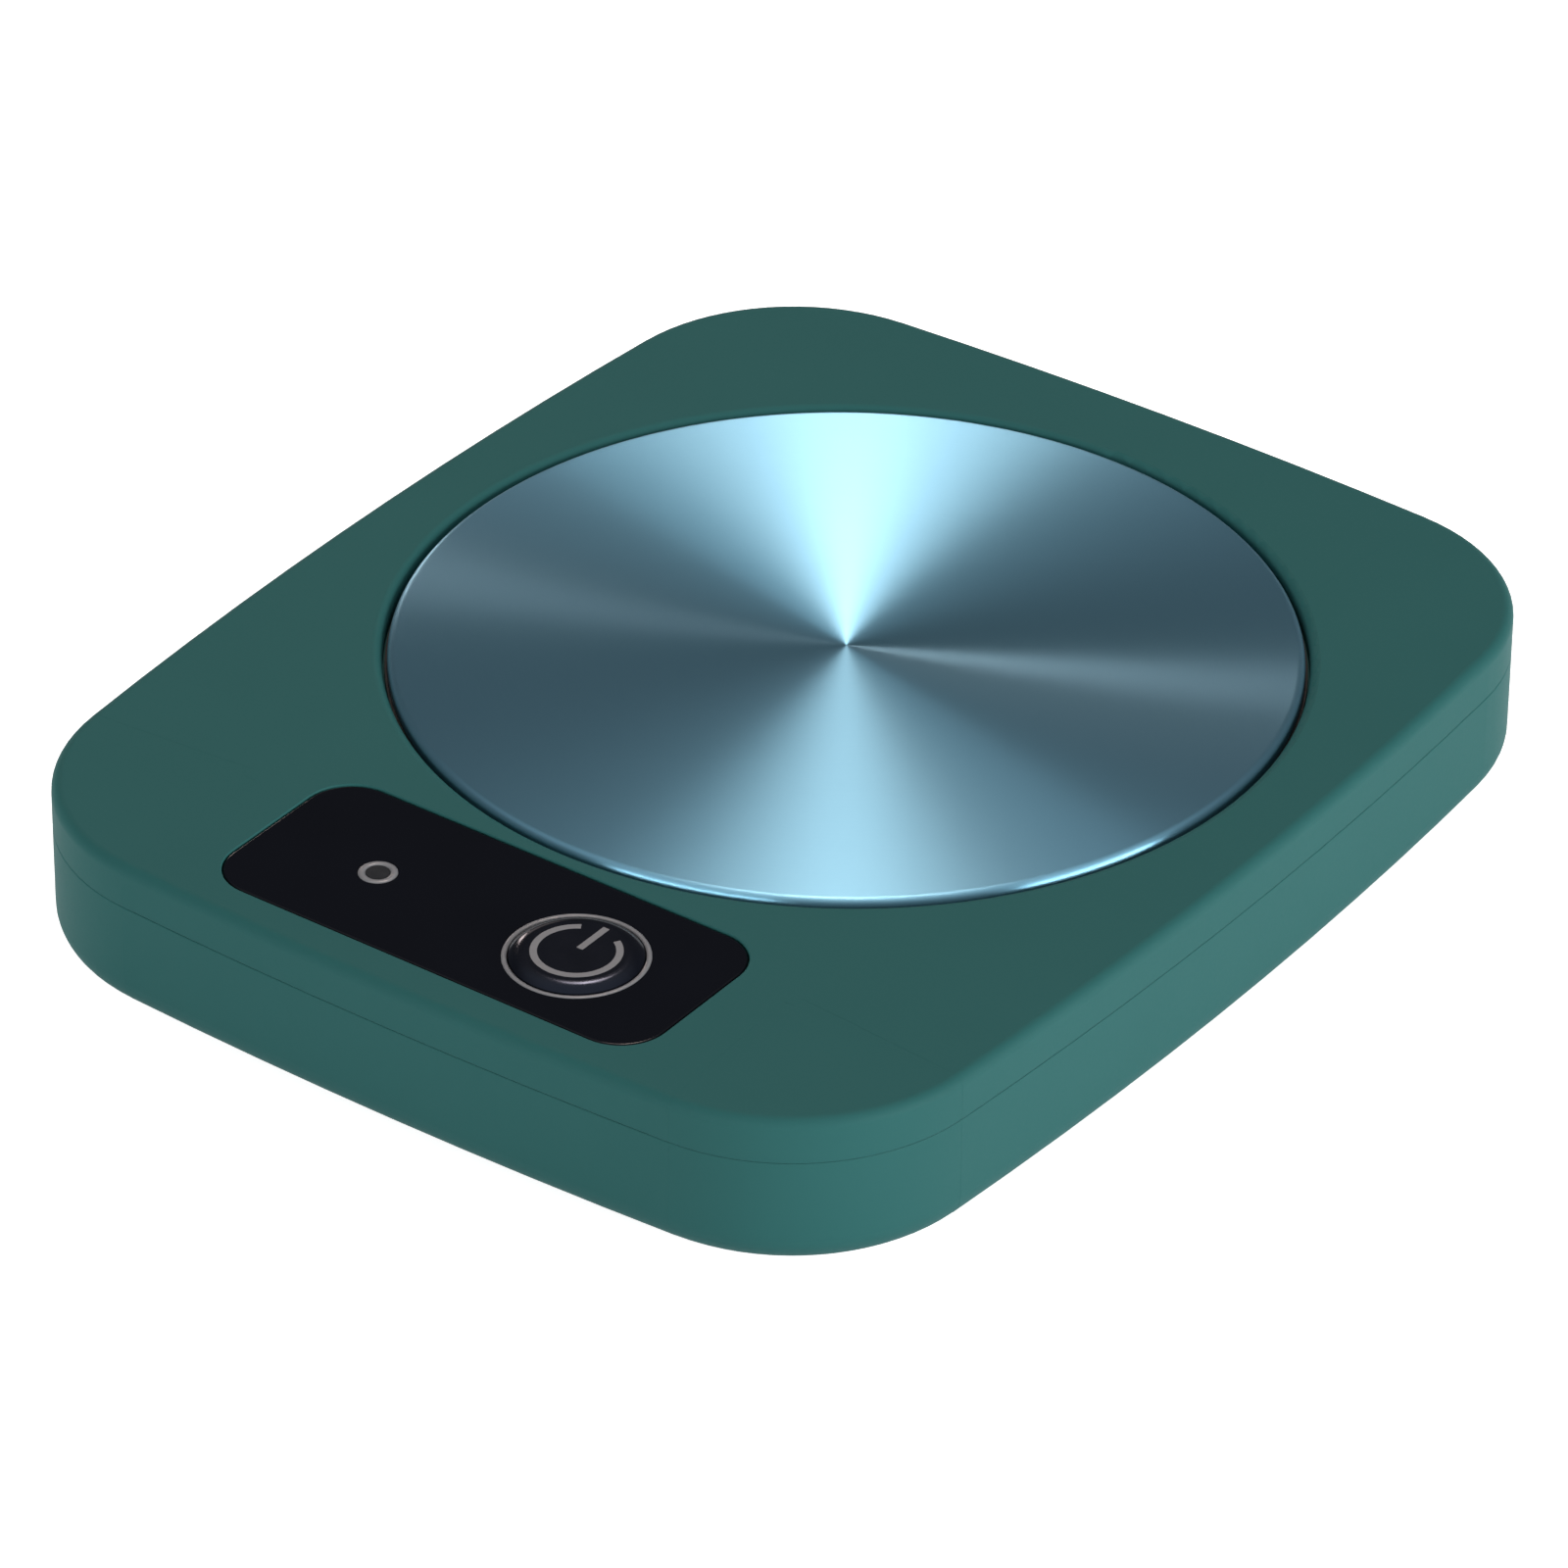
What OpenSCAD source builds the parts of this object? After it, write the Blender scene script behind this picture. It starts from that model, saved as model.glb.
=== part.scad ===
// Electric mug warmer: a flat desk heater with a round aluminium hot plate, a gloss panel that
// carries one push button and a pilot light, and a USB-C inlet in the middle of the back wall.
// Millimetres. +X is to the right and +Y to the back for a user who faces the panel. +Z is up.
// The origin lies on the table under the middle of the body.

/* [Body] */
// Length across the crowns of the front and back walls; the plate fills what the panel leaves
body_l = 129.5; // [118:0.5:142]
// Height of the two closed shells, without the feet
shell_h = 16.5; // [16:0.5:26]
// Depth of the upper shell, from its top face down to the seam
cover_h = 4.7; // [4:0.1:6]
// Radius of the corners in plan
corner_r = 20.7; // [18:0.1:24]
// Radius of the slight bow that every side has in plan
bow_r = 560; // [400:10:1600]
// Thickness of the side walls
wall_t = 2.2; // [1.8:0.1:2.4]
// Thickness of the upper shell's top
top_t = 2.2; // [2:0.1:2.6]
// Thickness of the lower shell's floor
floor_t = 2; // [1.6:0.1:2.6]
// Radius of the edge round the top face
top_edge_r = 1.1; // [0.4:0.1:1.8]
// Radius of the edge round the bottom face
base_edge_r = 3.1; // [1:0.1:4]
// Height of the bevels that make the seam between the shells a fine groove
seam_bevel = 0.1; // [0.1:0.05:0.4]
// Gap between the two shells at the seam
seam_gap = 0.05; // [0.04:0.01:0.1]
// Height of the lower shell's tongue, which centres the upper shell
tongue_h = 1.2; // [0.8:0.1:1.6]
// Thickness of that tongue
tongue_t = 1; // [0.8:0.1:1.2]

/* [Hot plate] */
// Distance from the crown of the back wall to the plate's rim
plate_back_margin = 11; // [8:0.05:16]
// Distance from the crown of a side wall to the plate's rim
plate_side_margin = 8.5; // [7:0.1:14]
// Thickness of the plate at its rim
plate_t = 1.6; // [1.2:0.1:2]
// How far the plate stands above the top face
plate_proud = 0.1; // [0:0.05:0.6]
// Radius of the plate's turned upper edge
plate_edge_r = 0.8; // [0.2:0.05:1]
// Width of the open gap between the plate and the shell
plate_gap = 0.45; // [0.4:0.05:1]
// Radius of the shell's edge round the plate
opening_edge_r = 1; // [0.4:0.1:1.2]
// Width of the seat that carries the plate's rim
seat_w = 4.6; // [4:0.1:5.2]
// Thickness of that seat
seat_t = 1.6; // [1.4:0.1:1.8]
// Thickness of the silicone gasket on the seat
gasket_t = 0.5; // [0.3:0.1:0.8]

/* [Heater stack] */
// Distance from the rim of the plate's spigot to the rim of the etched-foil heater
heater_margin = 2.6; // [2:0.1:5]
// Thickness of the heater
heater_t = 0.3; // [0.2:0.05:0.4]
// Thickness of the insulation pad under the heater
pad_t = 1; // [0.8:0.1:1.2]
// Thickness of the steel pressure plate
clamp_t = 0.8; // [0.6:0.1:1.2]
// Width of the pressure plate's rim under the seat
clamp_lap = 2.6; // [2:0.1:3.4]
// Distance from the rim of the plate's spigot to the axis of each of the three plate screws
clamp_screw_in = 9.6; // [7:0.1:14]
// Diameter of the bosses under the hot plate that take those screws
clamp_boss_d = 6; // [5:0.1:7]
// Diameter of the silicone boot that holds the thermistor
boot_d = 8.6; // [7:0.1:10]
// Diameter of the thermistor
thermistor_d = 1.9; // [1.5:0.1:2.4]
// Diameter of the thermal fuse
fuse_d = 3.4; // [3:0.1:4]
// Length of the thermal fuse's body
fuse_l = 9; // [8:0.5:12]
// Distance of the fuse from the middle of the plate
fuse_x = 16; // [14:0.5:18]

/* [Control panel] */
// Width of the gloss panel
panel_w = 50.6; // [48:0.1:56]
// Depth of the gloss panel from front to back
panel_l = 21.3; // [20:0.1:22.4]
// Distance from the crown of the front wall to the panel
panel_margin = 4.62; // [3.6:0.01:10]
// Radius of the panel's corners
panel_r = 4.8; // [2:0.1:6]
// Thickness of the panel
panel_t = 0.85; // [0.7:0.05:1]
// Thickness of the tape that bonds the panel
tape_t = 0.15; // [0.1:0.05:0.25]
// How far the panel lies below the top face
panel_sunk = 0.1; // [0:0.05:0.2]
// Width of the land between the plate's opening and the panel's recess
panel_land = 1.98; // [1.5:0.01:2.2]
// How far the button and the pilot light lie in front of the panel's middle
controls_offset = 0.5; // [0:0.1:1.5]

/* [Power button] */
// Distance of the button's axis from the panel's end
button_margin = 14; // [12:0.05:16]
// Diameter of the button
button_d = 12.8; // [11.6:0.1:13.4]
// Diameter of the flat on top of the button
button_flat_d = 9.8; // [9.6:0.1:10.6]
// How far the button stands above the panel
button_rise = 0.56; // [0.52:0.02:1]
// Height of the button's round shoulder
shoulder_h = 0.5; // [0.3:0.02:0.5]
// How far the button can be pressed
button_travel = 0.5; // [0.3:0.05:0.6]
// Width of the ring round the button
ring_w = 0.5; // [0.4:0.05:1]
// Outer diameter of the arc in the power symbol
symbol_d = 8.8; // [8:0.1:9.2]
// Width of the symbol's strokes
symbol_stroke = 0.7; // [0.6:0.05:1.2]
// Half of the opening at the top of the symbol's arc, in degrees
symbol_gap_a = 31; // [28:1:40]
// Length of the symbol's upright bar
symbol_bar_l = 4.2; // [3:0.1:4.4]
// Side of the square switch under the button
switch_w = 6; // [5:0.1:7]
// Height of the switch's body
switch_h = 3.3; // [3:0.1:4]
// Diameter of the switch's plunger
plunger_d = 3.4; // [3:0.1:3.8]

/* [Pilot light] */
// Distance of the pilot light's axis from the panel's other end
light_margin = 13.1; // [9:0.05:15]
// Outer diameter of the ring round the light
light_ring_d = 3.85; // [3.4:0.05:5]
// Diameter of the light pipe
light_pipe_d = 2.3; // [1.8:0.1:2.4]

/* [Circuit boards] */
// Width of the control board
board_w = 58; // [56:0.5:60]
// Depth of the control board from front to back
board_l = 21; // [20.5:0.1:21.6]
// Thickness of the control board
board_t = 1.2; // [1:0.1:1.6]
// Width of the inlet board
inlet_board_w = 20; // [19:0.5:26]
// Depth of the inlet board from front to back
inlet_board_l = 12.5; // [12:0.5:16]
// Thickness of the inlet board
inlet_board_t = 1; // [0.8:0.1:1.2]
// Diameter of an insulated lead
lead_d = 1.3; // [1:0.1:1.5]

/* [Power inlet] */
// Height of the inlet's middle above the shell's bottom face
inlet_h = 6; // [5.6:0.1:7]
// Length of the USB-C shell
usb_l = 7.35; // [6.8:0.05:8]
// How far the mouth lies behind the crown of the back wall
usb_sunk = 0.35; // [0.2:0.05:0.8]
// Width of the bevel round the inlet's opening in the back wall
inlet_bevel_w = 0.5; // [0.2:0.1:0.8]

/* [Feet and screws] */
// Diameter of a foot
foot_d = 12; // [9:0.5:13]
// How far the feet stand below the shell
foot_h = 1; // [0.6:0.1:3]
// Depth of the recess that a foot is bonded into
foot_recess = 0.8; // [0.4:0.1:1]
// Distance between a foot and the case screw beside it
foot_pitch = 13.5; // [11:0.1:15]
// Shank diameter of the case screws
case_screw_d = 2.5; // [2.2:0.1:2.8]
// Length of the case screws under the head
case_screw_l = 6; // [5:0.5:6]
// Thickness of plastic that each case screw clamps
screw_land = 1.6; // [1.2:0.1:2]
// Shank diameter of the board screws
board_screw_d = 1.7; // [1.6:0.1:1.9]
// Length of the board screws under the head
board_screw_l = 4.4; // [4:0.1:4.6]
// Length of the inlet board's screws under the head
inlet_screw_l = 3; // [2.4:0.1:3.2]

/* [Clearances] */
// Gap round parts that are set into a recess
fit_gap = 0.15; // [0.1:0.01:0.2]
// Gap round the button where it slides
slide_gap = 0.15; // [0.1:0.01:0.25]
// Gap round a screw's shank in its pilot hole
thread_gap = 0.03; // [0.02:0.01:0.05]
// Gap round a screw's shank in a clearance hole
screw_gap = 0.25; // [0.15:0.05:0.4]

/* [Hidden] */
$fn = 96;

// Fine facets for the long bows, and a length that clears the face it cuts through
bow_fn = 1440;
edge_fn = 64;
lead_fn = 24;
past = 1;

// The plate takes the length that the panel and the margins leave, and sets the body's width
plate_d = body_l - plate_back_margin - plate_gap - panel_land - fit_gap - panel_l - panel_margin;
body_w = plate_d + 2 * plate_side_margin;

// Plan of the body: each corner arc touches both of its bowed sides
bow_x = bow_r - body_w / 2;
bow_y = bow_r - body_l / 2;
bow_span = norm([bow_x, bow_y]);
corner_reach = sqrt(pow(bow_r - corner_r, 2) - pow(bow_span / 2, 2)) / bow_span;
corner_x = corner_reach * bow_y - bow_x / 2;
corner_y = corner_reach * bow_x - bow_y / 2;
side_a = asin(corner_y / (bow_r - corner_r));
end_a = asin(corner_x / (bow_r - corner_r));
side_sag = body_w / 2 - corner_r - corner_x;
end_sag = body_l / 2 - corner_r - corner_y;
fill_reach = corner_r + max(side_sag, end_sag) + past;
section_span = 60;

// The corners reach a few degrees into the sides, a hair within them, so that no surfaces graze
corner_lap_a = 5;
corner_set_in = 0.008;

// The block in the middle reaches past the corner centres, and fills the small cores left there
block_lap = 1.5;
corner_core_r = 1;

// Levels of the shells
base_z = foot_h;
top_z = base_z + shell_h;
seam_z = top_z - cover_h;
floor_z = base_z + floor_t;
ceiling_z = top_z - top_t;
inner_edge_r = max(base_edge_r - wall_t, 0.6);
skin_t = wall_t - tongue_t - fit_gap;
tongue_gap = 0.2;

// Hot plate and the stack that is clamped under it
plate_r = plate_d / 2;
plate_y = body_l / 2 - plate_back_margin - plate_r;
opening_r = plate_r + plate_gap;
seat_r = opening_r - seat_w;
collar_w = 1.8;
collar_r = opening_r + collar_w;
spigot_gap = 0.4;
spigot_r = seat_r - spigot_gap;
gasket_set_in = 0.2;
plate_top_z = top_z + plate_proud;
plate_low_z = plate_top_z - plate_t;
seat_z = plate_low_z - gasket_t;
seat_low_z = seat_z - seat_t;
heater_z = seat_low_z + pad_t;
spigot_z = heater_z + heater_t;
clamp_low_z = seat_low_z - clamp_t;
clamp_r = seat_r + clamp_lap;
clamp_screw_angles = [90, 210, 330];
clamp_skin = 0.8;
clamp_hole_depth = plate_top_z - seat_low_z - clamp_skin;
screw_end_gap = 0.3;
clamp_screw_l = clamp_t + clamp_hole_depth - screw_end_gap;
clamp_head_h = 1.6;
clamp_boss_gap = 0.3;
clamp_screw_r = spigot_r - clamp_screw_in;
heater_r = spigot_r - heater_margin;
pad_r = heater_r + 1;
stack_hole_d = boot_d + 2 * fit_gap;
boot_flange_w = 2.2;
boot_flange_t = 1.2;
boot_low_z = clamp_low_z - boot_flange_t;
boot_bore_gap = 0.05;
thermistor_gap = 0.1;
fuse_z = clamp_low_z - fuse_d / 2;
fuse_lead_l = 6;
fuse_lead_d = 0.9;
strap_l = 5;
strap_t = 0.5;
strap_foot_w = 3.5;
strap_gap = 0.05;
lead_hole_y = 7 - clamp_screw_r;
lead_hole_d = 6;

// Control panel, and what shows in it
recess_z = top_z - panel_sunk - panel_t - tape_t;
panel_z = top_z - panel_sunk;
panel_y = panel_margin + panel_l / 2 - body_l / 2;
controls_y = panel_y - controls_offset;
panel_edge_r = 0.2;
recess_edge_r = 0.15;
ring_proud = 0.05;
ring_inner_d = button_d + 2 * slide_gap;
ring_d = ring_inner_d + 2 * ring_w;
inlay_gap = 0.05;
light_ring_inner_d = light_pipe_d + 2 * inlay_gap;
tape_in = 0.3;

// Power button, from its top down to the switch on the control board
ring_lap = 0.1;
button_hole_d = ring_inner_d + 2 * ring_lap;
button_x = panel_w / 2 - button_margin;
light_x = panel_w / 2 - light_margin;
button_top_z = panel_z + button_rise;
shoulder_w = (button_d - button_flat_d) / 2;
shoulder_r = (pow(shoulder_w, 2) + pow(shoulder_h, 2)) / (2 * shoulder_h);
button_stop_gap = 0.1;
flange_z = ceiling_z - button_stop_gap;
flange_t = 0.8;
flange_lap = 1;
stem_d = 4;
stem_h = 1.2;
plunger_z = flange_z - flange_t - stem_h;
plunger_show = 0.9;
plunger_in = 1.6;
plunger_gap = 0.05;
plunger_end_gap = 0.2;
switch_z = plunger_z - plunger_show;
board_z = switch_z - switch_h;
symbol_t = 0.3;
symbol_proud = 0.02;
symbol_r = (symbol_d - symbol_stroke) / 2;
symbol_bar_low = 0.45;

// LED and the light pipe above it
led_size = [3.5, 2.8, 1.2];
led_dome_d = 2.2;
led_h = 1.9;
pipe_gap = 0.3;
pipe_flange_w = 1;

// Boards, their screws and the leads between them
board_low_z = board_z - board_t;
board_hole_in = 2.7;
board_hole_x = board_w / 2 - board_hole_in;
board_hole_y = board_l / 2 - board_hole_in;
standoff_d = 5;
board_screw_head_d = 3.6;
board_screw_head_h = 1.3;
chip_size = [5, 4, 1.6];
chip_pins = 4;
chip_pitch = 1.27;
chip_lead_size = [0.4, 1, 0.3];
transistor_in = 8;
transistor_x = board_w / 2 - transistor_in;
transistor_size = [6.6, 6.1, 2.3];
transistor_lead_size = [0.8, 3, 0.5];
transistor_lead_x = 2.3;
capacitor_in = 8.6;
capacitor_at = [capacitor_in - board_w / 2, -1.5];
capacitor_d = 6.3;
capacitor_h = 5.2;
capacitor_foot_size = [6.6, 6.6, 1];
resistor_count = 6;
resistor_pitch = 2.4;
resistor_y = -6;
resistor_size = [1.6, 0.8, 0.5];
connector_size = [7.5, 5.8, 4.4];
connector_edge = 0.2;
connector_y = panel_y + board_l / 2 - connector_size.y / 2 - connector_edge;
connector_x = [-17.6, -6, 6];
lead_pitch = 2.5;
plug_gap = 0.05;
plug_depth = 1.5;
plug_z = board_z + connector_size.z / 2;
plug_run = 3;
lead_bend_d = lead_d + 0.1;
lead_low_z = board_z + lead_d / 2 + 0.2;
lead_high_z = lead_low_z + 1.1;
lead_turn_y = connector_y + 8;
sensor_pitch = 1.5;
sensor_turn = 14;
power_turn = 12;

// Power inlet in the back wall: the shell, the tongue and the contacts have the standard's sizes
usb_w = 8.94;
usb_h = 3.26;
usb_sheet = 0.3;
usb_block_l = 1.5;
usb_tongue_size = [6.69, 5.2, 0.7];
usb_contact_size = [0.25, 4, 0.05];
usb_contact_count = 12;
usb_contact_pitch = 0.5;
usb_contact_set_in = 0.5;
usb_z = base_z + inlet_h;
usb_mouth_y = body_l / 2 - usb_sunk;
usb_back_y = usb_mouth_y - usb_l;
usb_tip_y = usb_back_y + usb_block_l + usb_tongue_size.y;
inlet_board_z = usb_z - usb_h / 2;
inlet_board_low_z = inlet_board_z - inlet_board_t;
inlet_board_gap = 0.6;
inlet_hole_in = 2.6;
inlet_lead_in = 1.6;
inlet_board_y = body_l / 2 - wall_t - inlet_board_gap - inlet_board_l / 2;
inlet_hole_x = inlet_board_w / 2 - inlet_hole_in;
inlet_hole_y = inlet_board_y - inlet_board_l / 2 + inlet_hole_in;
inlet_lead_y = inlet_board_y - inlet_board_l / 2 + inlet_lead_in;

// Screw posts in the corners, and the feet beside them
post_wall = 1.5;
screw_head_d = 4.8;
screw_head_h = 1.9;
counterbore_gap = 0.3;
counterbore_d = screw_head_d + 2 * counterbore_gap;
post_d = counterbore_d + 2 * post_wall;
post_clear = 1.05;
post_in = (corner_r - wall_t - post_d / 2 - post_clear) / sqrt(2);
post_x = corner_x + post_in;
post_y = corner_y + post_in;
post_drop = 2.6;
post_top_z = seam_z - post_drop;
screw_seat_z = post_top_z - screw_land;
boss_d = 6.2;
case_hole_d = case_screw_d + 2 * screw_gap;
case_pilot_d = case_screw_d + 2 * thread_gap;
foot_x = post_x - foot_pitch;
foot_edge_r = 0.4;
rib_t = 1.2;
rib_h = 2.4;
rib_x = 21;
rib_y = [-26, 0, 26];

// Colours
teal = "#2f5f5c";
gloss_black = "#0b0d14";
slate = "#6f96aa";
silicone_black = "#1a1b1d";
steel = "#b4b8bc";
grey_print = "#77797d";
polyimide = "#b5702a";
mica = "#cfc8b4";
board_green = "#1f5c3a";
cream = "#e6dfc8";
smoke = "#3a3c40";
gold = "#c9a24a";
chip_black = "#202124";
copper_red = "#8c2f2a";
lead_white = "#d8d8d4";

// ---- Shapes that more than one piece uses ----

// Half widths of the body's outline, for a rib that ends in the middle of the wall
function side_x(y) = body_w / 2 - bow_r + sqrt(pow(bow_r, 2) - pow(y, 2));
function end_y(x) = body_l / 2 - bow_r + sqrt(pow(bow_r, 2) - pow(x, 2));
function corner_side_x(y) = corner_x + sqrt(pow(corner_r - wall_t / 2, 2) - pow(y - corner_y, 2));
function corner_end_y(x) = corner_y + sqrt(pow(corner_r - wall_t / 2, 2) - pow(x - corner_x, 2));

// What a square corner loses to a round edge whose centre is the origin
module round_off(r) {
    difference() {
        square(r + past);
        circle(r, $fn = edge_fn);
    }
}

// Repeats its children in the four quarters of the plan
module four_ways() {
    for (mx = [0, 1], my = [0, 1])
        mirror([mx, 0, 0])
            mirror([0, my, 0])
                children();
}

// Sweeps a wall section round the body: x = 0 is the outline and negative x is inside. In the
// corners the section is set in by a hair, and moved as much up (rise = 1) or down (rise = -1)
module around_body(rise) {
    for (turn = [0, 180])
        rotate(turn) {
            translate([-bow_x, 0, 0])
                rotate_extrude(angle = 2 * side_a, start = -side_a, $fn = bow_fn)
                    translate([bow_r, 0])
                        children();
            translate([0, -bow_y, 0])
                rotate_extrude(angle = 2 * end_a, start = 90 - end_a, $fn = bow_fn)
                    translate([bow_r, 0])
                        children();
        }
    four_ways()
        translate([corner_x, corner_y, 0])
            rotate_extrude(angle = 90 - side_a - end_a + 2 * corner_lap_a,
                    start = side_a - corner_lap_a)
                intersection() {
                    translate([corner_r - corner_set_in, rise * corner_set_in])
                        children();
                    translate([corner_core_r, -section_span])
                        square(2 * section_span);
                }
}

// The block between the four corner centres, which fills what a swept section leaves open
module middle_block(low, high) {
    translate([-corner_x - block_lap, -corner_y - block_lap, low])
        cube([2 * (corner_x + block_lap), 2 * (corner_y + block_lap), high - low]);
}

// A rectangle with round corners
module round_rect(w, l, r) {
    square([w - 2 * r, l], center = true);
    square([w, l - 2 * r], center = true);
    four_ways()
        translate([w / 2 - r, l / 2 - r])
            intersection() {
                circle(r);
                square(r);
            }
}

// Sweeps a section round such a rectangle: x = 0 is the outline and negative x is inside
module around_rect(w, l, r) {
    for (turn = [0, 180])
        rotate(turn) {
            translate([w / 2, 0, 0])
                rotate([90, 0, 0])
                    linear_extrude(l - 2 * r, center = true)
                        children();
            rotate(90)
                translate([l / 2, 0, 0])
                    rotate([90, 0, 0])
                        linear_extrude(w - 2 * r, center = true)
                            children();
        }
    four_ways()
        translate([w / 2 - r, l / 2 - r, 0])
            rotate_extrude(angle = 90)
                translate([r, 0])
                    children();
}

// A plain ring
module ring(outer_d, inner_d, h) {
    difference() {
        cylinder(h = h, d = outer_d);
        translate([0, 0, -past])
            cylinder(h = h + 2 * past, d = inner_d);
    }
}

// A slot with round ends, lying along X
module slot_shape(w, h) {
    square([w - h, h], center = true);
    for (side = [0, 1])
        mirror([side, 0])
            translate([(w - h) / 2, 0])
                intersection() {
                    circle(d = h);
                    translate([0, -h / 2])
                        square([h, h]);
                }
}

// A pan-head screw that stands on z = 0, with its shank down and a cross recess in the head
module pan_screw(shank_d, shank_l, head_d, head_h) {
    recess = 0.6 * head_h;
    difference() {
        union() {
            translate([0, 0, -shank_l])
                cylinder(h = shank_l + past / 2, d = shank_d);
            rotate_extrude()
                intersection() {
                    square([head_d / 2, head_h]);
                    translate([0, head_h - head_d])
                        circle(head_d);
                }
        }
        for (turn = [0, 90])
            rotate(turn)
                translate([-0.3 * head_d, -0.07 * head_d, head_h - recess])
                    cube([0.6 * head_d, 0.14 * head_d, head_h]);
    }
}

// The way from one point of a lead to the next, one unit long
function way(from, to) = (to - from) / norm(to - from);

// Turns its children from +Z to the given direction
module aim(direction) {
    rotate([0, acos(direction.z / norm(direction)), atan2(direction.y, direction.x)])
        children();
}

// A lead with straight runs, and a ball at each bend whose poles lie inside the two runs
module lead(points) {
    for (i = [0 : len(points) - 2])
        translate(points[i])
            aim(way(points[i], points[i + 1]))
                cylinder(h = norm(points[i + 1] - points[i]), d = lead_d, $fn = lead_fn);
    for (i = [1 : len(points) - 2])
        translate(points[i])
            aim(way(points[i - 1], points[i]) + way(points[i], points[i + 1]))
                sphere(d = lead_bend_d, $fn = lead_fn);
}

// ---- Shells ----

// What the bevel takes off a shell's outer edge, for a shell that lies above the origin
module seam_cut() {
    polygon([[past, 0], [-seam_bevel / 2, 0], [0, seam_bevel], [past, seam_bevel]]);
}

// Side wall and outer band of the upper shell, with the rebate that fits over the tongue
module upper_section() {
    difference() {
        translate([-fill_reach, seam_z + seam_gap])
            square([fill_reach, cover_h - seam_gap]);
        translate([-top_edge_r, top_z - top_edge_r])
            round_off(top_edge_r);
        translate([-fill_reach - past, seam_z - past])
            square([fill_reach + past - wall_t, cover_h - top_t + past]);
        translate([-wall_t - past, seam_z - past])
            square([wall_t + past - skin_t, past + tongue_h + tongue_gap]);
        translate([0, seam_z + seam_gap])
            seam_cut();
    }
}

// Pilot bosses that the case screws are driven into
module upper_bosses() {
    four_ways()
        translate([post_x, post_y, post_top_z])
            cylinder(h = ceiling_z - post_top_z + past, d = boss_d);
}

// Round opening of the hot plate, stepped for its seat and rounded at the top
module plate_opening() {
    translate([0, plate_y, 0]) {
        translate([0, 0, seat_low_z - past])
            cylinder(h = shell_h, r = seat_r);
        translate([0, 0, seat_z])
            cylinder(h = shell_h, r = opening_r);
        rotate_extrude()
            translate([opening_r + opening_edge_r, top_z - opening_edge_r])
                mirror([1, 0])
                    round_off(opening_edge_r);
    }
}

// Recess that the panel is bonded into, with the holes for the button and the light
module panel_recess() {
    recess_w = panel_w + 2 * fit_gap;
    recess_l = panel_l + 2 * fit_gap;
    recess_r = panel_r + fit_gap;
    translate([0, panel_y, recess_z])
        linear_extrude(shell_h)
            round_rect(recess_w, recess_l, recess_r);
    translate([0, panel_y, 0])
        around_rect(recess_w, recess_l, recess_r)
            translate([recess_edge_r, top_z - recess_edge_r])
                mirror([1, 0])
                    round_off(recess_edge_r);
    translate([button_x, controls_y, ceiling_z - past])
        cylinder(h = shell_h, d = button_hole_d);
    translate([-light_x, controls_y, ceiling_z - past])
        cylinder(h = shell_h, d = light_pipe_d + 2 * fit_gap);
}

module upper_shell() {
    color(teal)
        difference() {
            union() {
                around_body(-1)
                    upper_section();
                middle_block(ceiling_z, top_z);
                translate([0, plate_y, seat_low_z])
                    cylinder(h = top_z - seat_low_z - past / 2, r = collar_r);
                upper_bosses();
            }
            plate_opening();
            panel_recess();
            four_ways()
                translate([post_x, post_y, post_top_z - past])
                    cylinder(h = past + case_screw_l - screw_land + screw_end_gap, d = case_pilot_d);
        }
}

// Side wall, round bottom edge and outer band of the floor, with the tongue on top
module lower_section() {
    hollow_w = fill_reach + past - wall_t;
    difference() {
        translate([-fill_reach, base_z])
            square([fill_reach, seam_z - base_z]);
        translate([-base_edge_r, base_z + base_edge_r])
            mirror([0, 1])
                round_off(base_edge_r);
        difference() {
            translate([-fill_reach - past, floor_z])
                square([hollow_w, shell_h]);
            translate([-wall_t - inner_edge_r, floor_z + inner_edge_r])
                mirror([0, 1])
                    round_off(inner_edge_r);
        }
        translate([0, seam_z])
            mirror([0, 1])
                seam_cut();
    }
    translate([-wall_t, seam_z - past])
        square([tongue_t, past + tongue_h]);
}

// Hollow posts that carry the case screws, tied to the wall by two ribs each
module screw_posts() {
    four_ways() {
        translate([post_x, post_y, base_z + floor_t / 2])
            cylinder(h = post_top_z - base_z - floor_t / 2, d = post_d);
        translate([post_x, post_y - rib_t / 2, floor_z - past])
            cube([corner_side_x(post_y) - post_x, rib_t, screw_seat_z - floor_z + past]);
        translate([post_x - rib_t / 2, post_y, floor_z - past])
            cube([rib_t, corner_end_y(post_x) - post_y, screw_seat_z - floor_z + past]);
    }
}

// Standoffs of both circuit boards
module board_standoffs() {
    for (mx = [-1, 1], my = [-1, 1])
        translate([mx * board_hole_x, panel_y + my * board_hole_y, floor_z - past])
            cylinder(h = board_low_z - floor_z + past, d = standoff_d);
    for (mx = [-1, 1])
        translate([mx * inlet_hole_x, inlet_hole_y, floor_z - past])
            cylinder(h = inlet_board_low_z - floor_z + past, d = standoff_d);
}

// Low ribs that stiffen the floor, each ending inside the wall
module floor_ribs() {
    for (y = rib_y)
        translate([-side_x(y) + wall_t / 2, y - rib_t / 2, floor_z - past])
            cube([2 * side_x(y) - wall_t, rib_t, past + rib_h]);
    for (x = [-rib_x, rib_x])
        translate([x - rib_t / 2, -end_y(x) + wall_t / 2, floor_z - past])
            cube([rib_t, 2 * end_y(x) - wall_t, past + rib_h]);
}

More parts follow.
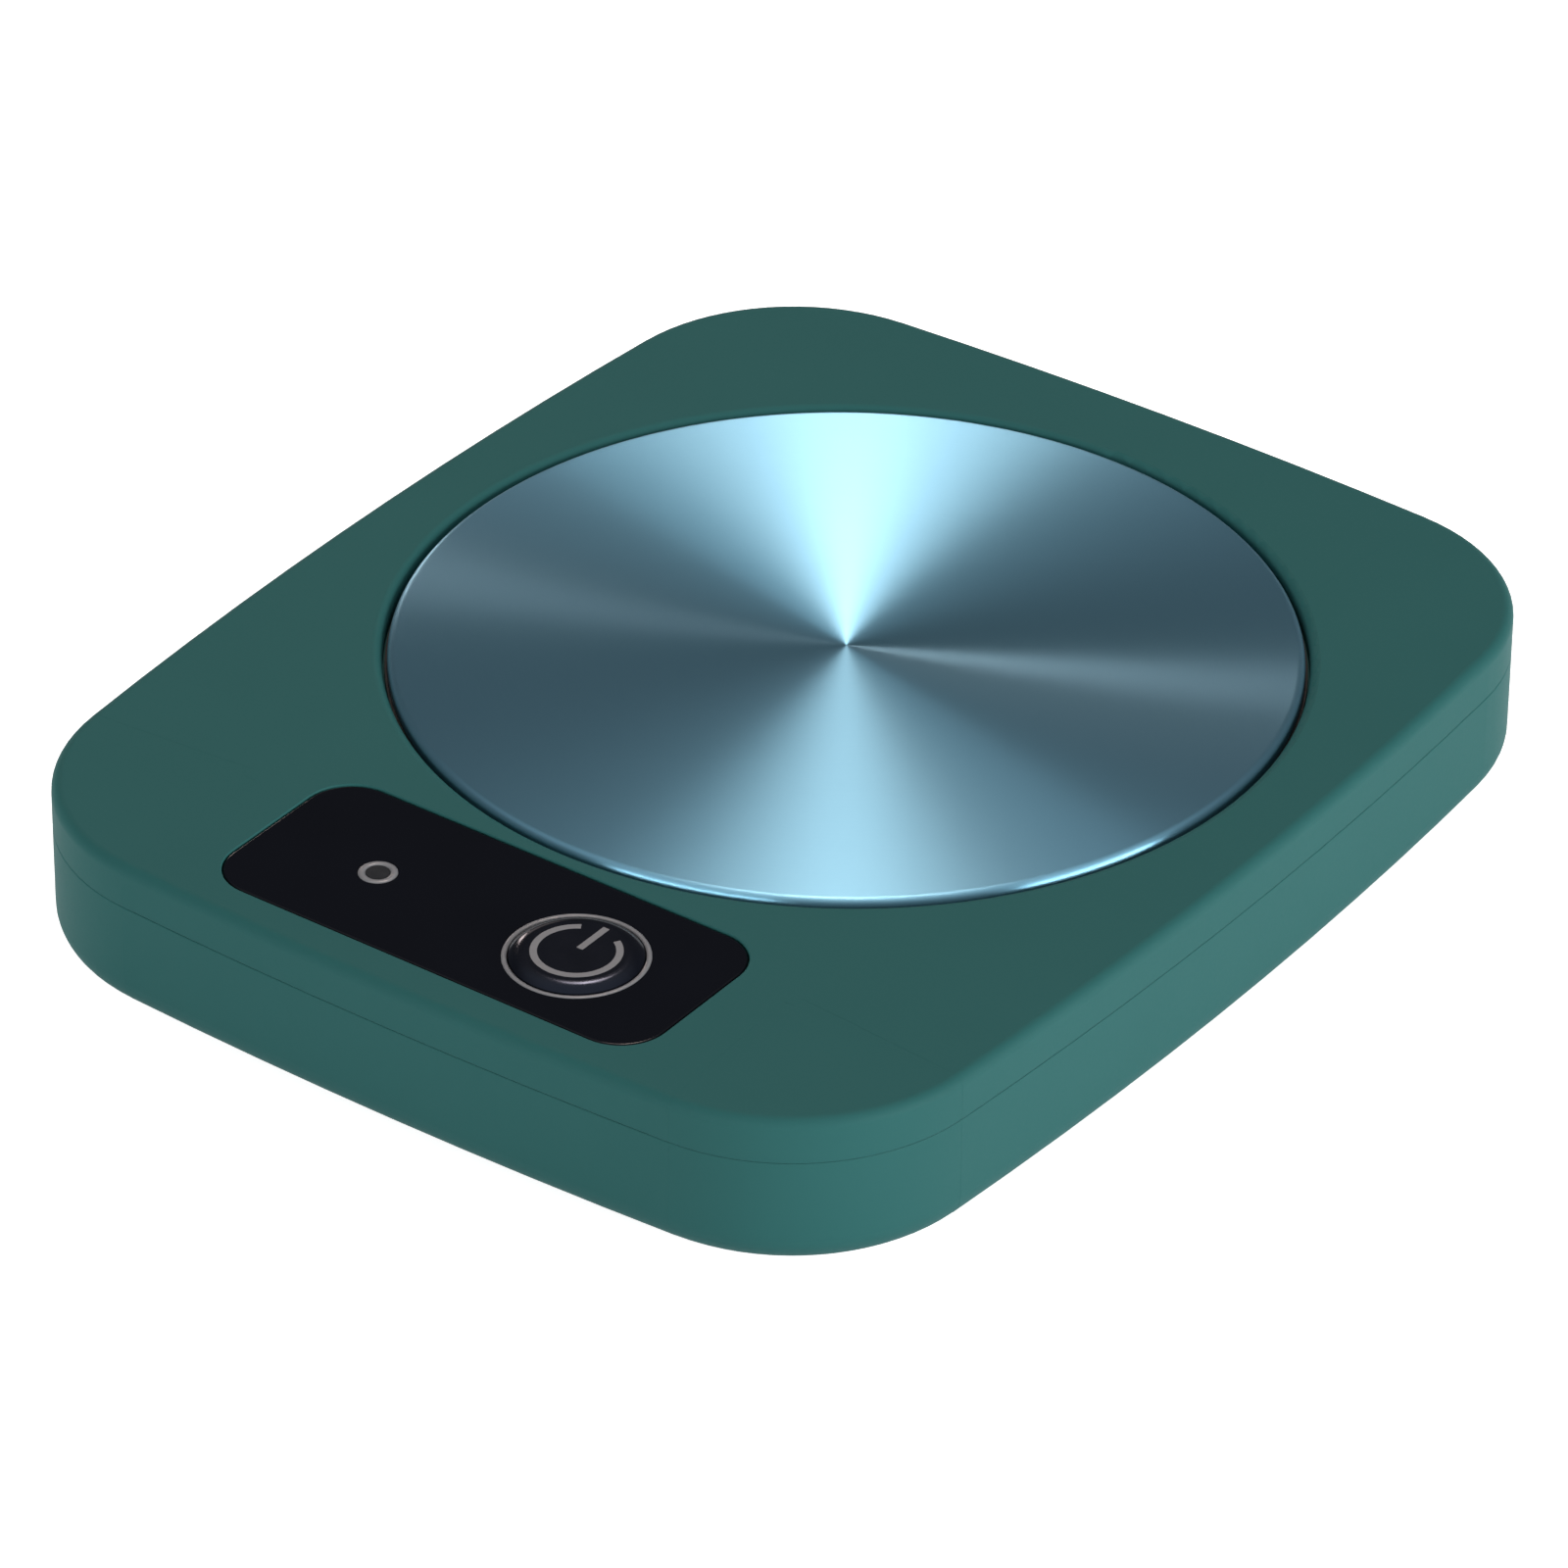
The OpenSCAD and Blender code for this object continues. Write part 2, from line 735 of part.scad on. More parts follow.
// Half section of what the bevel round the inlet's opening takes off, with its depth upwards
module bevel_section() {
    half_h = usb_h / 2 + fit_gap;
    depth = inlet_bevel_w + past;
    polygon([[0, 0], [half_h, 0], [half_h + depth, depth], [0, depth]]);
}

module inlet_bevel() {
    translate([0, body_l / 2 - inlet_bevel_w, usb_z])
        rotate([-90, 0, 0])
            for (turn = [0, 180])
                rotate(turn) {
                    rotate([90, 0, 90])
                        linear_extrude(usb_w - usb_h, center = true)
                            bevel_section();
                    translate([(usb_w - usb_h) / 2, 0, 0])
                        rotate_extrude(angle = 180, start = -90)
                            bevel_section();
                }
}

module lower_shell() {
    color(teal)
        difference() {
            union() {
                around_body(1)
                    lower_section();
                middle_block(base_z, floor_z);
                screw_posts();
                board_standoffs();
                floor_ribs();
            }
            four_ways() {
                translate([post_x, post_y, base_z - past])
                    cylinder(h = screw_seat_z - base_z + past, d = counterbore_d);
                translate([post_x, post_y, base_z])
                    cylinder(h = shell_h, d = case_hole_d);
                translate([foot_x, post_y, base_z - past])
                    cylinder(h = past + foot_recess, d = foot_d + 2 * fit_gap);
            }
            for (mx = [-1, 1], my = [-1, 1])
                translate([mx * board_hole_x, panel_y + my * board_hole_y,
                        board_z - board_screw_l - screw_end_gap])
                    cylinder(h = shell_h, d = board_screw_d + 2 * thread_gap);
            for (mx = [-1, 1])
                translate([mx * inlet_hole_x, inlet_hole_y,
                        inlet_board_z - inlet_screw_l - screw_end_gap])
                    cylinder(h = shell_h, d = board_screw_d + 2 * thread_gap);
            translate([0, body_l / 2 + past, usb_z])
                rotate([90, 0, 0])
                    linear_extrude(2 * past + wall_t)
                        slot_shape(usb_w + 2 * fit_gap, usb_h + 2 * fit_gap);
            inlet_bevel();
        }
}

// ---- Hot plate and heater stack ----

// Half section of the plate: a disc with a round edge on a shallow spigot
module plate_section() {
    difference() {
        translate([0, plate_low_z])
            square([plate_r, plate_t]);
        translate([plate_r - plate_edge_r, plate_top_z - plate_edge_r])
            round_off(plate_edge_r);
    }
    translate([0, spigot_z])
        square([spigot_r, plate_low_z - spigot_z + plate_t / 2]);
}

module heating_plate() {
    color(slate)
        translate([0, plate_y, 0])
            difference() {
                union() {
                    rotate_extrude()
                        plate_section();
                    for (a = clamp_screw_angles)
                        rotate(a)
                            translate([clamp_screw_r, 0, seat_low_z])
                                cylinder(h = spigot_z - seat_low_z + plate_t / 2, d = clamp_boss_d);
                }
                for (a = clamp_screw_angles)
                    rotate(a)
                        translate([clamp_screw_r, 0, seat_low_z - past])
                            cylinder(h = clamp_hole_depth + past, d = case_pilot_d);
            }
}

module plate_gasket() {
    color(silicone_black)
        translate([0, plate_y, seat_z])
            ring(2 * (opening_r - gasket_set_in), 2 * (spigot_r + gasket_set_in), gasket_t);
}

// The holes that the heater and the pad share: for the boot, the leads and the plate's bosses
module stack_holes() {
    cylinder(h = shell_h, d = stack_hole_d, center = true);
    for (a = clamp_screw_angles)
        rotate(a)
            translate([clamp_screw_r, 0, 0])
                cylinder(h = shell_h, d = clamp_boss_d + 2 * clamp_boss_gap, center = true);
}

module heater_film() {
    color(polyimide)
        translate([0, plate_y, heater_z])
            difference() {
                cylinder(h = heater_t, r = heater_r);
                stack_holes();
            }
}

module insulation_pad() {
    color(mica)
        translate([0, plate_y, seat_low_z])
            difference() {
                cylinder(h = pad_t, r = pad_r);
                stack_holes();
                translate([0, lead_hole_y, -past])
                    cylinder(h = pad_t + 2 * past, d = lead_hole_d);
            }
}

module pressure_plate() {
    color(steel)
        translate([0, plate_y, clamp_low_z])
            difference() {
                cylinder(h = clamp_t, r = clamp_r);
                translate([0, 0, -past])
                    cylinder(h = clamp_t + 2 * past, d = stack_hole_d);
                translate([0, lead_hole_y, -past])
                    cylinder(h = clamp_t + 2 * past, d = lead_hole_d);
                for (a = clamp_screw_angles)
                    rotate(a)
                        translate([clamp_screw_r, 0, -past])
                            cylinder(h = clamp_t + 2 * past, d = case_hole_d);
            }
}

module plate_screws() {
    color(steel)
        translate([0, plate_y, clamp_low_z])
            for (a = clamp_screw_angles)
                rotate(a)
                    translate([clamp_screw_r, 0, 0])
                        mirror([0, 0, 1])
                            pan_screw(case_screw_d, clamp_screw_l, screw_head_d, clamp_head_h);
}

// The fuse lies along Y against the pressure plate, with a bare lead at each end
module thermal_fuse() {
    color(cream)
        translate([fuse_x, plate_y, fuse_z])
            rotate([90, 0, 0]) {
                cylinder(h = fuse_l, d = fuse_d, center = true);
                cylinder(h = fuse_l + 2 * fuse_lead_l, d = fuse_lead_d, center = true);
            }
}

// A strap of spring steel that holds the fuse up, with a foot on either side
module fuse_clip() {
    hollow_r = fuse_d / 2 + strap_gap;
    color(steel)
        translate([fuse_x, plate_y, fuse_z])
            rotate([90, 0, 0])
                linear_extrude(strap_l, center = true)
                    difference() {
                        union() {
                            circle(hollow_r + strap_t);
                            translate([-hollow_r - strap_t, 0])
                                square([2 * (hollow_r + strap_t), fuse_d / 2]);
                            translate([-hollow_r - strap_foot_w, fuse_d / 2 - strap_t])
                                square([2 * (hollow_r + strap_foot_w), strap_t]);
                        }
                        circle(hollow_r);
                        translate([-hollow_r, 0])
                            square([2 * hollow_r, shell_h]);
                        translate([-hollow_r - strap_t - past, fuse_d / 2])
                            square([2 * (hollow_r + strap_t + past), shell_h]);
                    }
}

module thermistor() {
    color(copper_red)
        translate([0, plate_y, boot_low_z])
            cylinder(h = spigot_z - boot_low_z - thermistor_gap, d = thermistor_d);
}

module sensor_boot() {
    color(silicone_black)
        translate([0, plate_y, 0])
            difference() {
                union() {
                    translate([0, 0, boot_low_z])
                        cylinder(h = boot_flange_t, d = boot_d + 2 * boot_flange_w);
                    translate([0, 0, clamp_low_z - past / 2])
                        cylinder(h = spigot_z - clamp_low_z + past / 2, d = boot_d);
                }
                translate([0, 0, boot_low_z - past])
                    cylinder(h = shell_h, d = thermistor_d + 2 * boot_bore_gap);
            }
}

// ---- Control panel ----

// Where the button's ring and the light's ring pass through the panel and its tape
module control_holes(gap) {
    translate([button_x, controls_y - panel_y, 0])
        cylinder(h = shell_h, d = ring_d + 2 * gap, center = true);
    translate([-light_x, controls_y - panel_y, 0])
        cylinder(h = shell_h, d = light_ring_d + 2 * gap, center = true);
}

module control_panel() {
    color(gloss_black)
        translate([0, panel_y, recess_z + tape_t])
            difference() {
                linear_extrude(panel_t)
                    round_rect(panel_w, panel_l, panel_r);
                around_rect(panel_w, panel_l, panel_r)
                    translate([-panel_edge_r, panel_t - panel_edge_r])
                        round_off(panel_edge_r);
                control_holes(inlay_gap);
            }
}

module panel_tape() {
    color(silicone_black)
        translate([0, panel_y, recess_z])
            difference() {
                linear_extrude(tape_t)
                    round_rect(panel_w - 2 * tape_in, panel_l - 2 * tape_in, panel_r - tape_in);
                control_holes(tape_in);
            }
}

// A ring whose upper edges are rounded all the way round
module trim_ring(outer_d, inner_d, low, high) {
    band = (outer_d - inner_d) / 2;
    crown_r = band / 2;
    rotate_extrude()
        translate([inner_d / 2 + crown_r, 0])
            intersection() {
                translate([-crown_r, low])
                    square([band, high - low]);
                translate([0, high - band])
                    circle(band);
            }
}

module button_ring() {
    color(grey_print)
        translate([button_x, controls_y, 0])
            trim_ring(ring_d, ring_inner_d, recess_z, panel_z + ring_proud);
}

// Half section of the button: a flat top, a round shoulder, and a flange that stops it
module button_section() {
    intersection() {
        translate([0, flange_z - flange_t])
            square([button_d / 2, button_top_z - flange_z + flange_t]);
        union() {
            square([button_flat_d / 2, button_top_z]);
            translate([button_flat_d / 2, button_top_z - shoulder_r])
                circle(shoulder_r);
            square([button_d / 2, button_top_z - shoulder_h]);
        }
    }
    translate([0, flange_z - flange_t])
        square([button_hole_d / 2 + flange_lap, flange_t]);
    translate([0, plunger_z])
        square([stem_d / 2, stem_h + flange_t / 2]);
}

// The standard power sign: an open arc with a bar in the opening
module symbol_shape(low, h) {
    translate([0, 0, low]) {
        rotate_extrude(angle = 360 - 2 * symbol_gap_a, start = 90 + symbol_gap_a)
            translate([symbol_r - symbol_stroke / 2, 0])
                square([symbol_stroke, h]);
        translate([-symbol_stroke / 2, symbol_bar_low, 0])
            cube([symbol_stroke, symbol_bar_l, h]);
    }
}

module power_button() {
    color(gloss_black)
        translate([button_x, controls_y, 0])
            difference() {
                rotate_extrude()
                    button_section();
                symbol_shape(button_top_z - symbol_t, symbol_t + past);
            }
}

module power_symbol() {
    color(grey_print)
        translate([button_x, controls_y, 0])
            symbol_shape(button_top_z - symbol_t, symbol_t + symbol_proud);
}

module switch_plunger() {
    color(chip_black)
        translate([button_x, controls_y, plunger_z - plunger_show - plunger_in])
            cylinder(h = plunger_show + plunger_in, d = plunger_d);
}

module switch_body() {
    color(steel)
        translate([button_x, controls_y, board_z])
            difference() {
                translate([-switch_w / 2, -switch_w / 2, 0])
                    cube([switch_w, switch_w, switch_h]);
                translate([0, 0, switch_h - plunger_in - button_travel - plunger_end_gap])
                    cylinder(h = switch_h, d = plunger_d + 2 * plunger_gap);
            }
}

module light_ring() {
    color(grey_print)
        translate([-light_x, controls_y, 0])
            trim_ring(light_ring_d, light_ring_inner_d, recess_z, panel_z + ring_proud);
}

// The pipe's flange is bonded under the shell's top and its foot ends just above the LED
module light_pipe() {
    pipe_z = board_z + led_h + pipe_gap;
    color(smoke)
        translate([-light_x, controls_y, 0]) {
            translate([0, 0, pipe_z])
                cylinder(h = panel_z - pipe_z, d = light_pipe_d);
            translate([0, 0, ceiling_z - flange_t])
                cylinder(h = flange_t, d = light_pipe_d + 2 * pipe_flange_w);
        }
}

module led() {
    color(cream)
        translate([-light_x, controls_y, board_z]) {
            translate([-led_size.x / 2, -led_size.y / 2, 0])
                cube(led_size);
            translate([0, 0, led_size.z / 2])
                cylinder(h = led_h - led_size.z / 2, d = led_dome_d);
        }
}

// ---- Control board ----

module control_board() {
    color(board_green)
        translate([0, panel_y, board_low_z])
            difference() {
                translate([-board_w / 2, -board_l / 2, 0])
                    cube([board_w, board_l, board_t]);
                for (mx = [-1, 1], my = [-1, 1])
                    translate([mx * board_hole_x, my * board_hole_y, -past])
                        cylinder(h = board_t + 2 * past, d = board_screw_d + 2 * screw_gap);
            }
}

// A moulded chip with a row of short leads on its front and on its back
module control_chip() {
    row = (chip_pins - 1) * chip_pitch;
    color(chip_black)
        translate([0, controls_y, board_z]) {
            translate([-chip_size.x / 2, -chip_size.y / 2, chip_lead_size.z / 3])
                cube([chip_size.x, chip_size.y, chip_size.z - chip_lead_size.z / 3]);
            for (side = [-1, 1], i = [0 : chip_pins - 1])
                translate([i * chip_pitch - row / 2, side * (chip_size.y + chip_lead_size.y / 2) / 2, 0])
                    translate([-chip_lead_size.x / 2, -chip_lead_size.y / 2, 0])
                        cube(chip_lead_size);
        }
}

module power_transistor() {
    color(chip_black)
        translate([transistor_x, controls_y, board_z]) {
            translate([-transistor_size.x / 2, -transistor_size.y / 2, 0])
                cube(transistor_size);
            for (side = [-1, 1])
                translate([side * transistor_lead_x - transistor_lead_size.x / 2,
                        -transistor_size.y / 2 - 0.7 * transistor_lead_size.y, 0])
                    cube(transistor_lead_size);
        }
}

module capacitor() {
    color(steel)
        translate([capacitor_at.x, controls_y + capacitor_at.y, board_z]) {
            translate([-capacitor_foot_size.x / 2, -capacitor_foot_size.y / 2, 0])
                cube(capacitor_foot_size);
            translate([0, 0, capacitor_foot_size.z / 2])
                cylinder(h = capacitor_h - capacitor_foot_size.z / 2, d = capacitor_d);
        }
}

module chip_resistors() {
    color(chip_black)
        for (i = [0 : resistor_count - 1])
            translate([(i - (resistor_count - 1) / 2) * resistor_pitch, controls_y + resistor_y, board_z])
                translate([-resistor_size.x / 2, -resistor_size.y / 2, 0])
                    cube(resistor_size);
}

// Where the two leads of connector number i end in it, from the side towards the plate
function plug_point(i, side) = [connector_x[i] + side * lead_pitch / 2,
    connector_y + connector_size.y / 2 - plug_depth, plug_z];

module wire_connectors() {
    color(cream)
        for (i = [0 : len(connector_x) - 1])
            difference() {
                translate([connector_x[i] - connector_size.x / 2,
                        connector_y - connector_size.y / 2, board_z])
                    cube(connector_size);
                for (side = [-1, 1])
                    translate(plug_point(i, side))
                        rotate([-90, 0, 0])
                            cylinder(h = connector_size.y, d = lead_d + 2 * plug_gap);
            }
}

// ---- Power inlet ----

module inlet_board() {
    color(board_green)
        translate([0, inlet_board_y, inlet_board_low_z])
            difference() {
                translate([-inlet_board_w / 2, -inlet_board_l / 2, 0])
                    cube([inlet_board_w, inlet_board_l, inlet_board_t]);
                for (mx = [-1, 1])
                    translate([mx * inlet_hole_x, inlet_hole_y - inlet_board_y, -past])
                        cylinder(h = inlet_board_t + 2 * past, d = board_screw_d + 2 * screw_gap);
            }
}

module usb_shell() {
    color(steel)
        translate([0, usb_mouth_y, usb_z])
            rotate([90, 0, 0])
                linear_extrude(usb_l)
                    difference() {
                        slot_shape(usb_w, usb_h);
                        slot_shape(usb_w - 2 * usb_sheet, usb_h - 2 * usb_sheet);
                    }
}

// The block that closes the shell at the back, and the tongue that a plug slides over
module usb_tongue() {
    color(chip_black) {
        translate([0, usb_back_y + usb_block_l, usb_z])
            rotate([90, 0, 0])
                linear_extrude(usb_block_l)
                    slot_shape(usb_w - 2 * usb_sheet, usb_h - 2 * usb_sheet);
        translate([-usb_tongue_size.x / 2, usb_back_y + usb_block_l / 2,
                usb_z - usb_tongue_size.z / 2])
            cube([usb_tongue_size.x, usb_tongue_size.y + usb_block_l / 2, usb_tongue_size.z]);
    }
}

// Two rows of contacts, on the upper and the lower side of the tongue
module usb_contacts() {
    row = (usb_contact_count - 1) * usb_contact_pitch;
    color(gold)
        for (side = [0, 1])
            translate([0, usb_tip_y - usb_contact_set_in - usb_contact_size.y, usb_z])
                mirror([0, 0, side])
                    for (i = [0 : usb_contact_count - 1])
                        translate([i * usb_contact_pitch - row / 2 - usb_contact_size.x / 2, 0,
                                usb_tongue_size.z / 2])
                            cube(usb_contact_size);
}

// ---- Leads ----

module power_leads() {
    color(copper_red)
        for (side = [-1, 1]) {
            plug = plug_point(0, side);
            start = [side * lead_pitch, inlet_lead_y, inlet_board_z];
            lead([
                start,
                [start.x, start.y, lead_low_z],
                [plug.x, start.y - power_turn, lead_low_z],
                [plug.x, lead_turn_y, lead_low_z],
                plug + [0, plug_run, 0],
                plug
            ]);
        }
}

module sensor_leads() {
    color(chip_black)
        for (side = [-1, 1]) {
            plug = plug_point(1, side);
            start = [side * sensor_pitch / 2, plate_y, boot_low_z];
            lead([
                start,
                [start.x, start.y, lead_high_z],
                [plug.x, start.y - sensor_turn, lead_high_z],
                [plug.x, lead_turn_y, lead_high_z],
                plug + [0, plug_run, 0],
                plug
            ]);
        }
}

module heater_leads() {
    color(lead_white)
        for (side = [-1, 1]) {
            plug = plug_point(2, side);
            start = [side * lead_pitch / 2, plate_y + lead_hole_y, heater_z];
            lead([
                start,
                [start.x, start.y, lead_high_z],
                [plug.x, lead_turn_y, lead_high_z],
                plug + [0, plug_run, 0],
                plug
            ]);
        }
}

// ---- Fasteners and feet ----

module case_screws() {
    color(steel)
        four_ways()
            translate([post_x, post_y, screw_seat_z])
                mirror([0, 0, 1])
                    pan_screw(case_screw_d, case_screw_l, screw_head_d, screw_head_h);
}

module board_screws() {
    color(steel)
        for (mx = [-1, 1], my = [-1, 1])
            translate([mx * board_hole_x, panel_y + my * board_hole_y, board_z])
                pan_screw(board_screw_d, board_screw_l, board_screw_head_d, board_screw_head_h);
}

module inlet_screws() {
    color(steel)
        for (mx = [-1, 1])
            translate([mx * inlet_hole_x, inlet_hole_y, inlet_board_z])
                pan_screw(board_screw_d, inlet_screw_l, board_screw_head_d, board_screw_head_h);
}

module rubber_feet() {
    foot_full_h = foot_h + foot_recess;
    color(silicone_black)
        four_ways()
            translate([foot_x, post_y, 0])
                rotate_extrude()
                    difference() {
                        square([foot_d / 2, foot_full_h]);
                        translate([foot_d / 2 - foot_edge_r, foot_edge_r])
                            mirror([0, 1])
                                round_off(foot_edge_r);
                    }
}

upper_shell();
lower_shell();
heating_plate();
plate_gasket();
heater_film();
insulation_pad();
pressure_plate();
plate_screws();
thermal_fuse();
fuse_clip();
thermistor();
sensor_boot();
control_panel();
panel_tape();
button_ring();
power_button();
power_symbol();
switch_plunger();
switch_body();
light_ring();
light_pipe();
led();
control_board();
control_chip();
power_transistor();
capacitor();
chip_resistors();
wire_connectors();
inlet_board();
usb_shell();
usb_tongue();
usb_contacts();
power_leads();
heater_leads();
sensor_leads();
case_screws();
board_screws();
inlet_screws();
rubber_feet();
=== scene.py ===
import math

import bmesh
import bpy
from mathutils import Matrix, Vector


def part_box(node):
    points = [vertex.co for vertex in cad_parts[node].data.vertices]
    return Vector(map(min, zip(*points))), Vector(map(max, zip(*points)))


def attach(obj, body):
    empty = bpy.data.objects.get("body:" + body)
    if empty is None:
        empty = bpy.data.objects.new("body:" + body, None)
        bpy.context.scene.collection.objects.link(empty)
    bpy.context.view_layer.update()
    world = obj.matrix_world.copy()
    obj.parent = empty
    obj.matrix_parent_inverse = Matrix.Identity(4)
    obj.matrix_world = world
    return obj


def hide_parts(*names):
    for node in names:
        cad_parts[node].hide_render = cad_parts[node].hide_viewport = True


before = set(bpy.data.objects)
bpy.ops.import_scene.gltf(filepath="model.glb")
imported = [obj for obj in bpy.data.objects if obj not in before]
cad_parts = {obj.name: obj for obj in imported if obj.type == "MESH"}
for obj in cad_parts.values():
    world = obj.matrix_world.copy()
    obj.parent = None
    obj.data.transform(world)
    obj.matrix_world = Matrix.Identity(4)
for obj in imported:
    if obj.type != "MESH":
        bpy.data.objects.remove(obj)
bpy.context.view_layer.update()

MM = 0.001


# ---- Shells ----
# Two injection-moulded ABS shells that meet at a fine seam, with a tongue of the lower one inside
# the upper. The mould's spark-eroded walls leave a satin grain, which spreads the light softly and
# shows no fingerprints.

def linear(hex_colour):
    """Turns an sRGB hex colour into the linear colour that a shader takes."""
    values = [int(hex_colour[i:i + 2], 16) / 255 for i in (1, 3, 5)]
    return tuple(v / 12.92 if v <= 0.04045 else ((v + 0.055) / 1.055) ** 2.4 for v in values) + (1.0,)


def feed(tree, node, inputs):
    """Sets a node's inputs: each to a value, a socket, a node's first output, or a list of these."""
    for name, value in inputs.items():
        for source in value if isinstance(value, list) else [value]:
            if isinstance(source, bpy.types.Node):
                source = next(output for output in source.outputs if output.enabled)
            if isinstance(source, bpy.types.NodeSocket):
                tree.links.new(source, node.inputs[name])
            else:
                node.inputs[name].default_value = source


def add_node(tree, kind, inputs=None, **settings):
    """Adds one node with its settings, and feeds its inputs."""
    node = tree.nodes.new(kind)
    for name, value in settings.items():
        setattr(node, name, value)
    feed(tree, node, inputs or {})
    return node


def new_material(name, sockets):
    """Starts a material with its shader's plain sockets, and returns what its patterns are tied to."""
    material = bpy.data.materials.new(name)
    material.use_nodes = True
    tree = material.node_tree
    shader = tree.nodes["Principled BSDF"]
    feed(tree, shader, sockets)
    return material, tree, shader, add_node(tree, "ShaderNodeTexCoord").outputs["Object"]


def lay_tones(tree, shader, pattern, low, high):
    """Lets a pattern run between two close tones of a colour, from where it is low to where it is high."""
    tone = add_node(tree, "ShaderNodeMix", {"Factor": pattern, "A": linear(low), "B": linear(high)},
        data_type="RGBA")
    feed(tree, shader, {"Base Color": tone})


def lay_clouds(tree, shader, place, size, detail, dark, light):
    """Clouds a surface with two close tones of a colour."""
    clouds = add_node(tree, "ShaderNodeTexNoise", {"Vector": place, "Scale": 1 / size, "Detail": detail})
    lay_tones(tree, shader, clouds, dark, light)


def lay_relief(tree, shader, pattern, strength, depth, smooth, rough):
    """Lets a pattern stand out of a surface, with one roughness in its pits and another on its crests."""
    bump = add_node(tree, "ShaderNodeBump", {"Height": pattern, "Strength": strength, "Distance": depth})
    gloss = add_node(tree, "ShaderNodeMapRange", {"Value": pattern, "To Min": smooth, "To Max": rough})
    feed(tree, shader, {"Normal": bump, "Roughness": gloss})


def lay_grain(tree, shader, place, size, depth, smooth, rough):
    """Gives a surface a fine, shallow grain."""
    grain = add_node(tree, "ShaderNodeTexNoise", {"Vector": place, "Scale": 1 / size, "Detail": 3.0})
    lay_relief(tree, shader, grain, strength=0.15, depth=depth, smooth=smooth, rough=rough)


def give(material, *node_names):
    """Puts one material on CAD nodes whose shape is kept."""
    for node_name in node_names:
        for material_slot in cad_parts[node_name].material_slots:
            material_slot.material = material


# ABS has an index of 1.53. The spark-eroded grain is about 0.1 mm wide: drawn at 0.35 mm to show.
# Slow changes of tone, 18 mm across, are the plastic's flow in the mould.
abs_teal, tree, shader, place = new_material("abs_satin_teal", {"IOR": 1.53, "Specular IOR Level": 0.1})
lay_grain(tree, shader, place, size=0.35 * MM, depth=0.02 * MM, smooth=0.6, rough=0.7)
lay_clouds(tree, shader, place, size=18 * MM, detail=2.0, dark="#21504f", light="#245352")
give(abs_teal, "upper_shell", "lower_shell")


# ---- Hot plate ----
# Aluminium disc, turned with a round edge and a shallow spigot below it, faced with a fine tool and
# anodised slate blue. The turning marks are circles round its middle, which draw each highlight
# out into a fan. Three blind bosses on the underside take the screws of the pressure plate.

def sized_tree(name, sizes):
    """Starts a Geometry Nodes tree whose named inputs are a piece's sizes and materials."""
    kinds = {int: "NodeSocketInt", float: "NodeSocketFloat", tuple: "NodeSocketVector",
        bpy.types.Material: "NodeSocketMaterial"}
    tree = bpy.data.node_groups.new(name, "GeometryNodeTree")
    tree.interface.new_socket("Geometry", in_out="INPUT", socket_type="NodeSocketGeometry")
    for size, usual in sizes.items():
        socket = tree.interface.new_socket(size, in_out="INPUT", socket_type=kinds[type(usual)])
        if type(usual) is not bpy.types.Material:
            socket.default_value = usual
    tree.interface.new_socket("Geometry", in_out="OUTPUT", socket_type="NodeSocketGeometry")
    return tree, tree.nodes.new("NodeGroupInput").outputs


def end_tree(tree, geometry, finishes):
    """Ends a tree: its instances become real, and each finish goes on the faces that carry its mark."""
    done = add_node(tree, "GeometryNodeRealizeInstances", {"Geometry": geometry})
    for mark, material in finishes.items():
        done = add_node(tree, "GeometryNodeSetMaterial", {"Geometry": done, "Material": material})
        if mark:
            marked = add_node(tree, "GeometryNodeInputNamedAttribute", {"Name": mark}, data_type="BOOLEAN")
            feed(tree, done, {"Selection": marked})
    add_node(tree, "NodeGroupOutput", {"Geometry": done})


def half_section(tree, corners):
    """Draws a half section of a turned shape: each corner's radius, height and rounding."""
    index = add_node(tree, "GeometryNodeInputIndex")
    where = add_node(tree, "GeometryNodeIndexSwitch", {"Index": index}, data_type="VECTOR")
    rounding = add_node(tree, "GeometryNodeIndexSwitch", {"Index": index}, data_type="FLOAT")
    for i, (radius, height, round_r) in enumerate(corners):
        if i > 1:
            where.index_switch_items.new()
            rounding.index_switch_items.new()
        corner = add_node(tree, "ShaderNodeCombineXYZ", {"X": radius, "Z": height})
        feed(tree, where, {str(i): corner})
        feed(tree, rounding, {str(i): round_r})
    line = add_node(tree, "GeometryNodeCurvePrimitiveLine")
    points = add_node(tree, "GeometryNodeResampleCurve", {"Curve": line, "Count": len(corners)}, mode="COUNT")
    drawn = add_node(tree, "GeometryNodeSetPosition", {"Geometry": points, "Position": where})
    return add_node(tree, "GeometryNodeFilletCurve", {"Curve": drawn, "Count": 6, "Radius": rounding,
        "Limit Radius": True}, mode="POLY")


# Spins a half section about the Z axis: a grid with one row for each step of the turn, each row laid
# along the section, and then merged where it meets itself and at the poles.
spin, given = sized_tree("spin", {"Steps": 96})
count = add_node(spin, "GeometryNodeAttributeDomainSize", {"Geometry": given["Geometry"]},
    component="CURVE").outputs["Point Count"]
rows = add_node(spin, "ShaderNodeMath", {0: given["Steps"], 1: 1.0}, operation="ADD")
grid = add_node(spin, "GeometryNodeMeshGrid", {"Vertices X": rows, "Vertices Y": count})
index = add_node(spin, "GeometryNodeInputIndex")
column = add_node(spin, "ShaderNodeMath", {0: index, 1: count}, operation="MODULO")
row = add_node(spin, "ShaderNodeMath", {0: index, 1: count}, operation="DIVIDE")
row = add_node(spin, "ShaderNodeMath", {0: row}, operation="FLOOR")
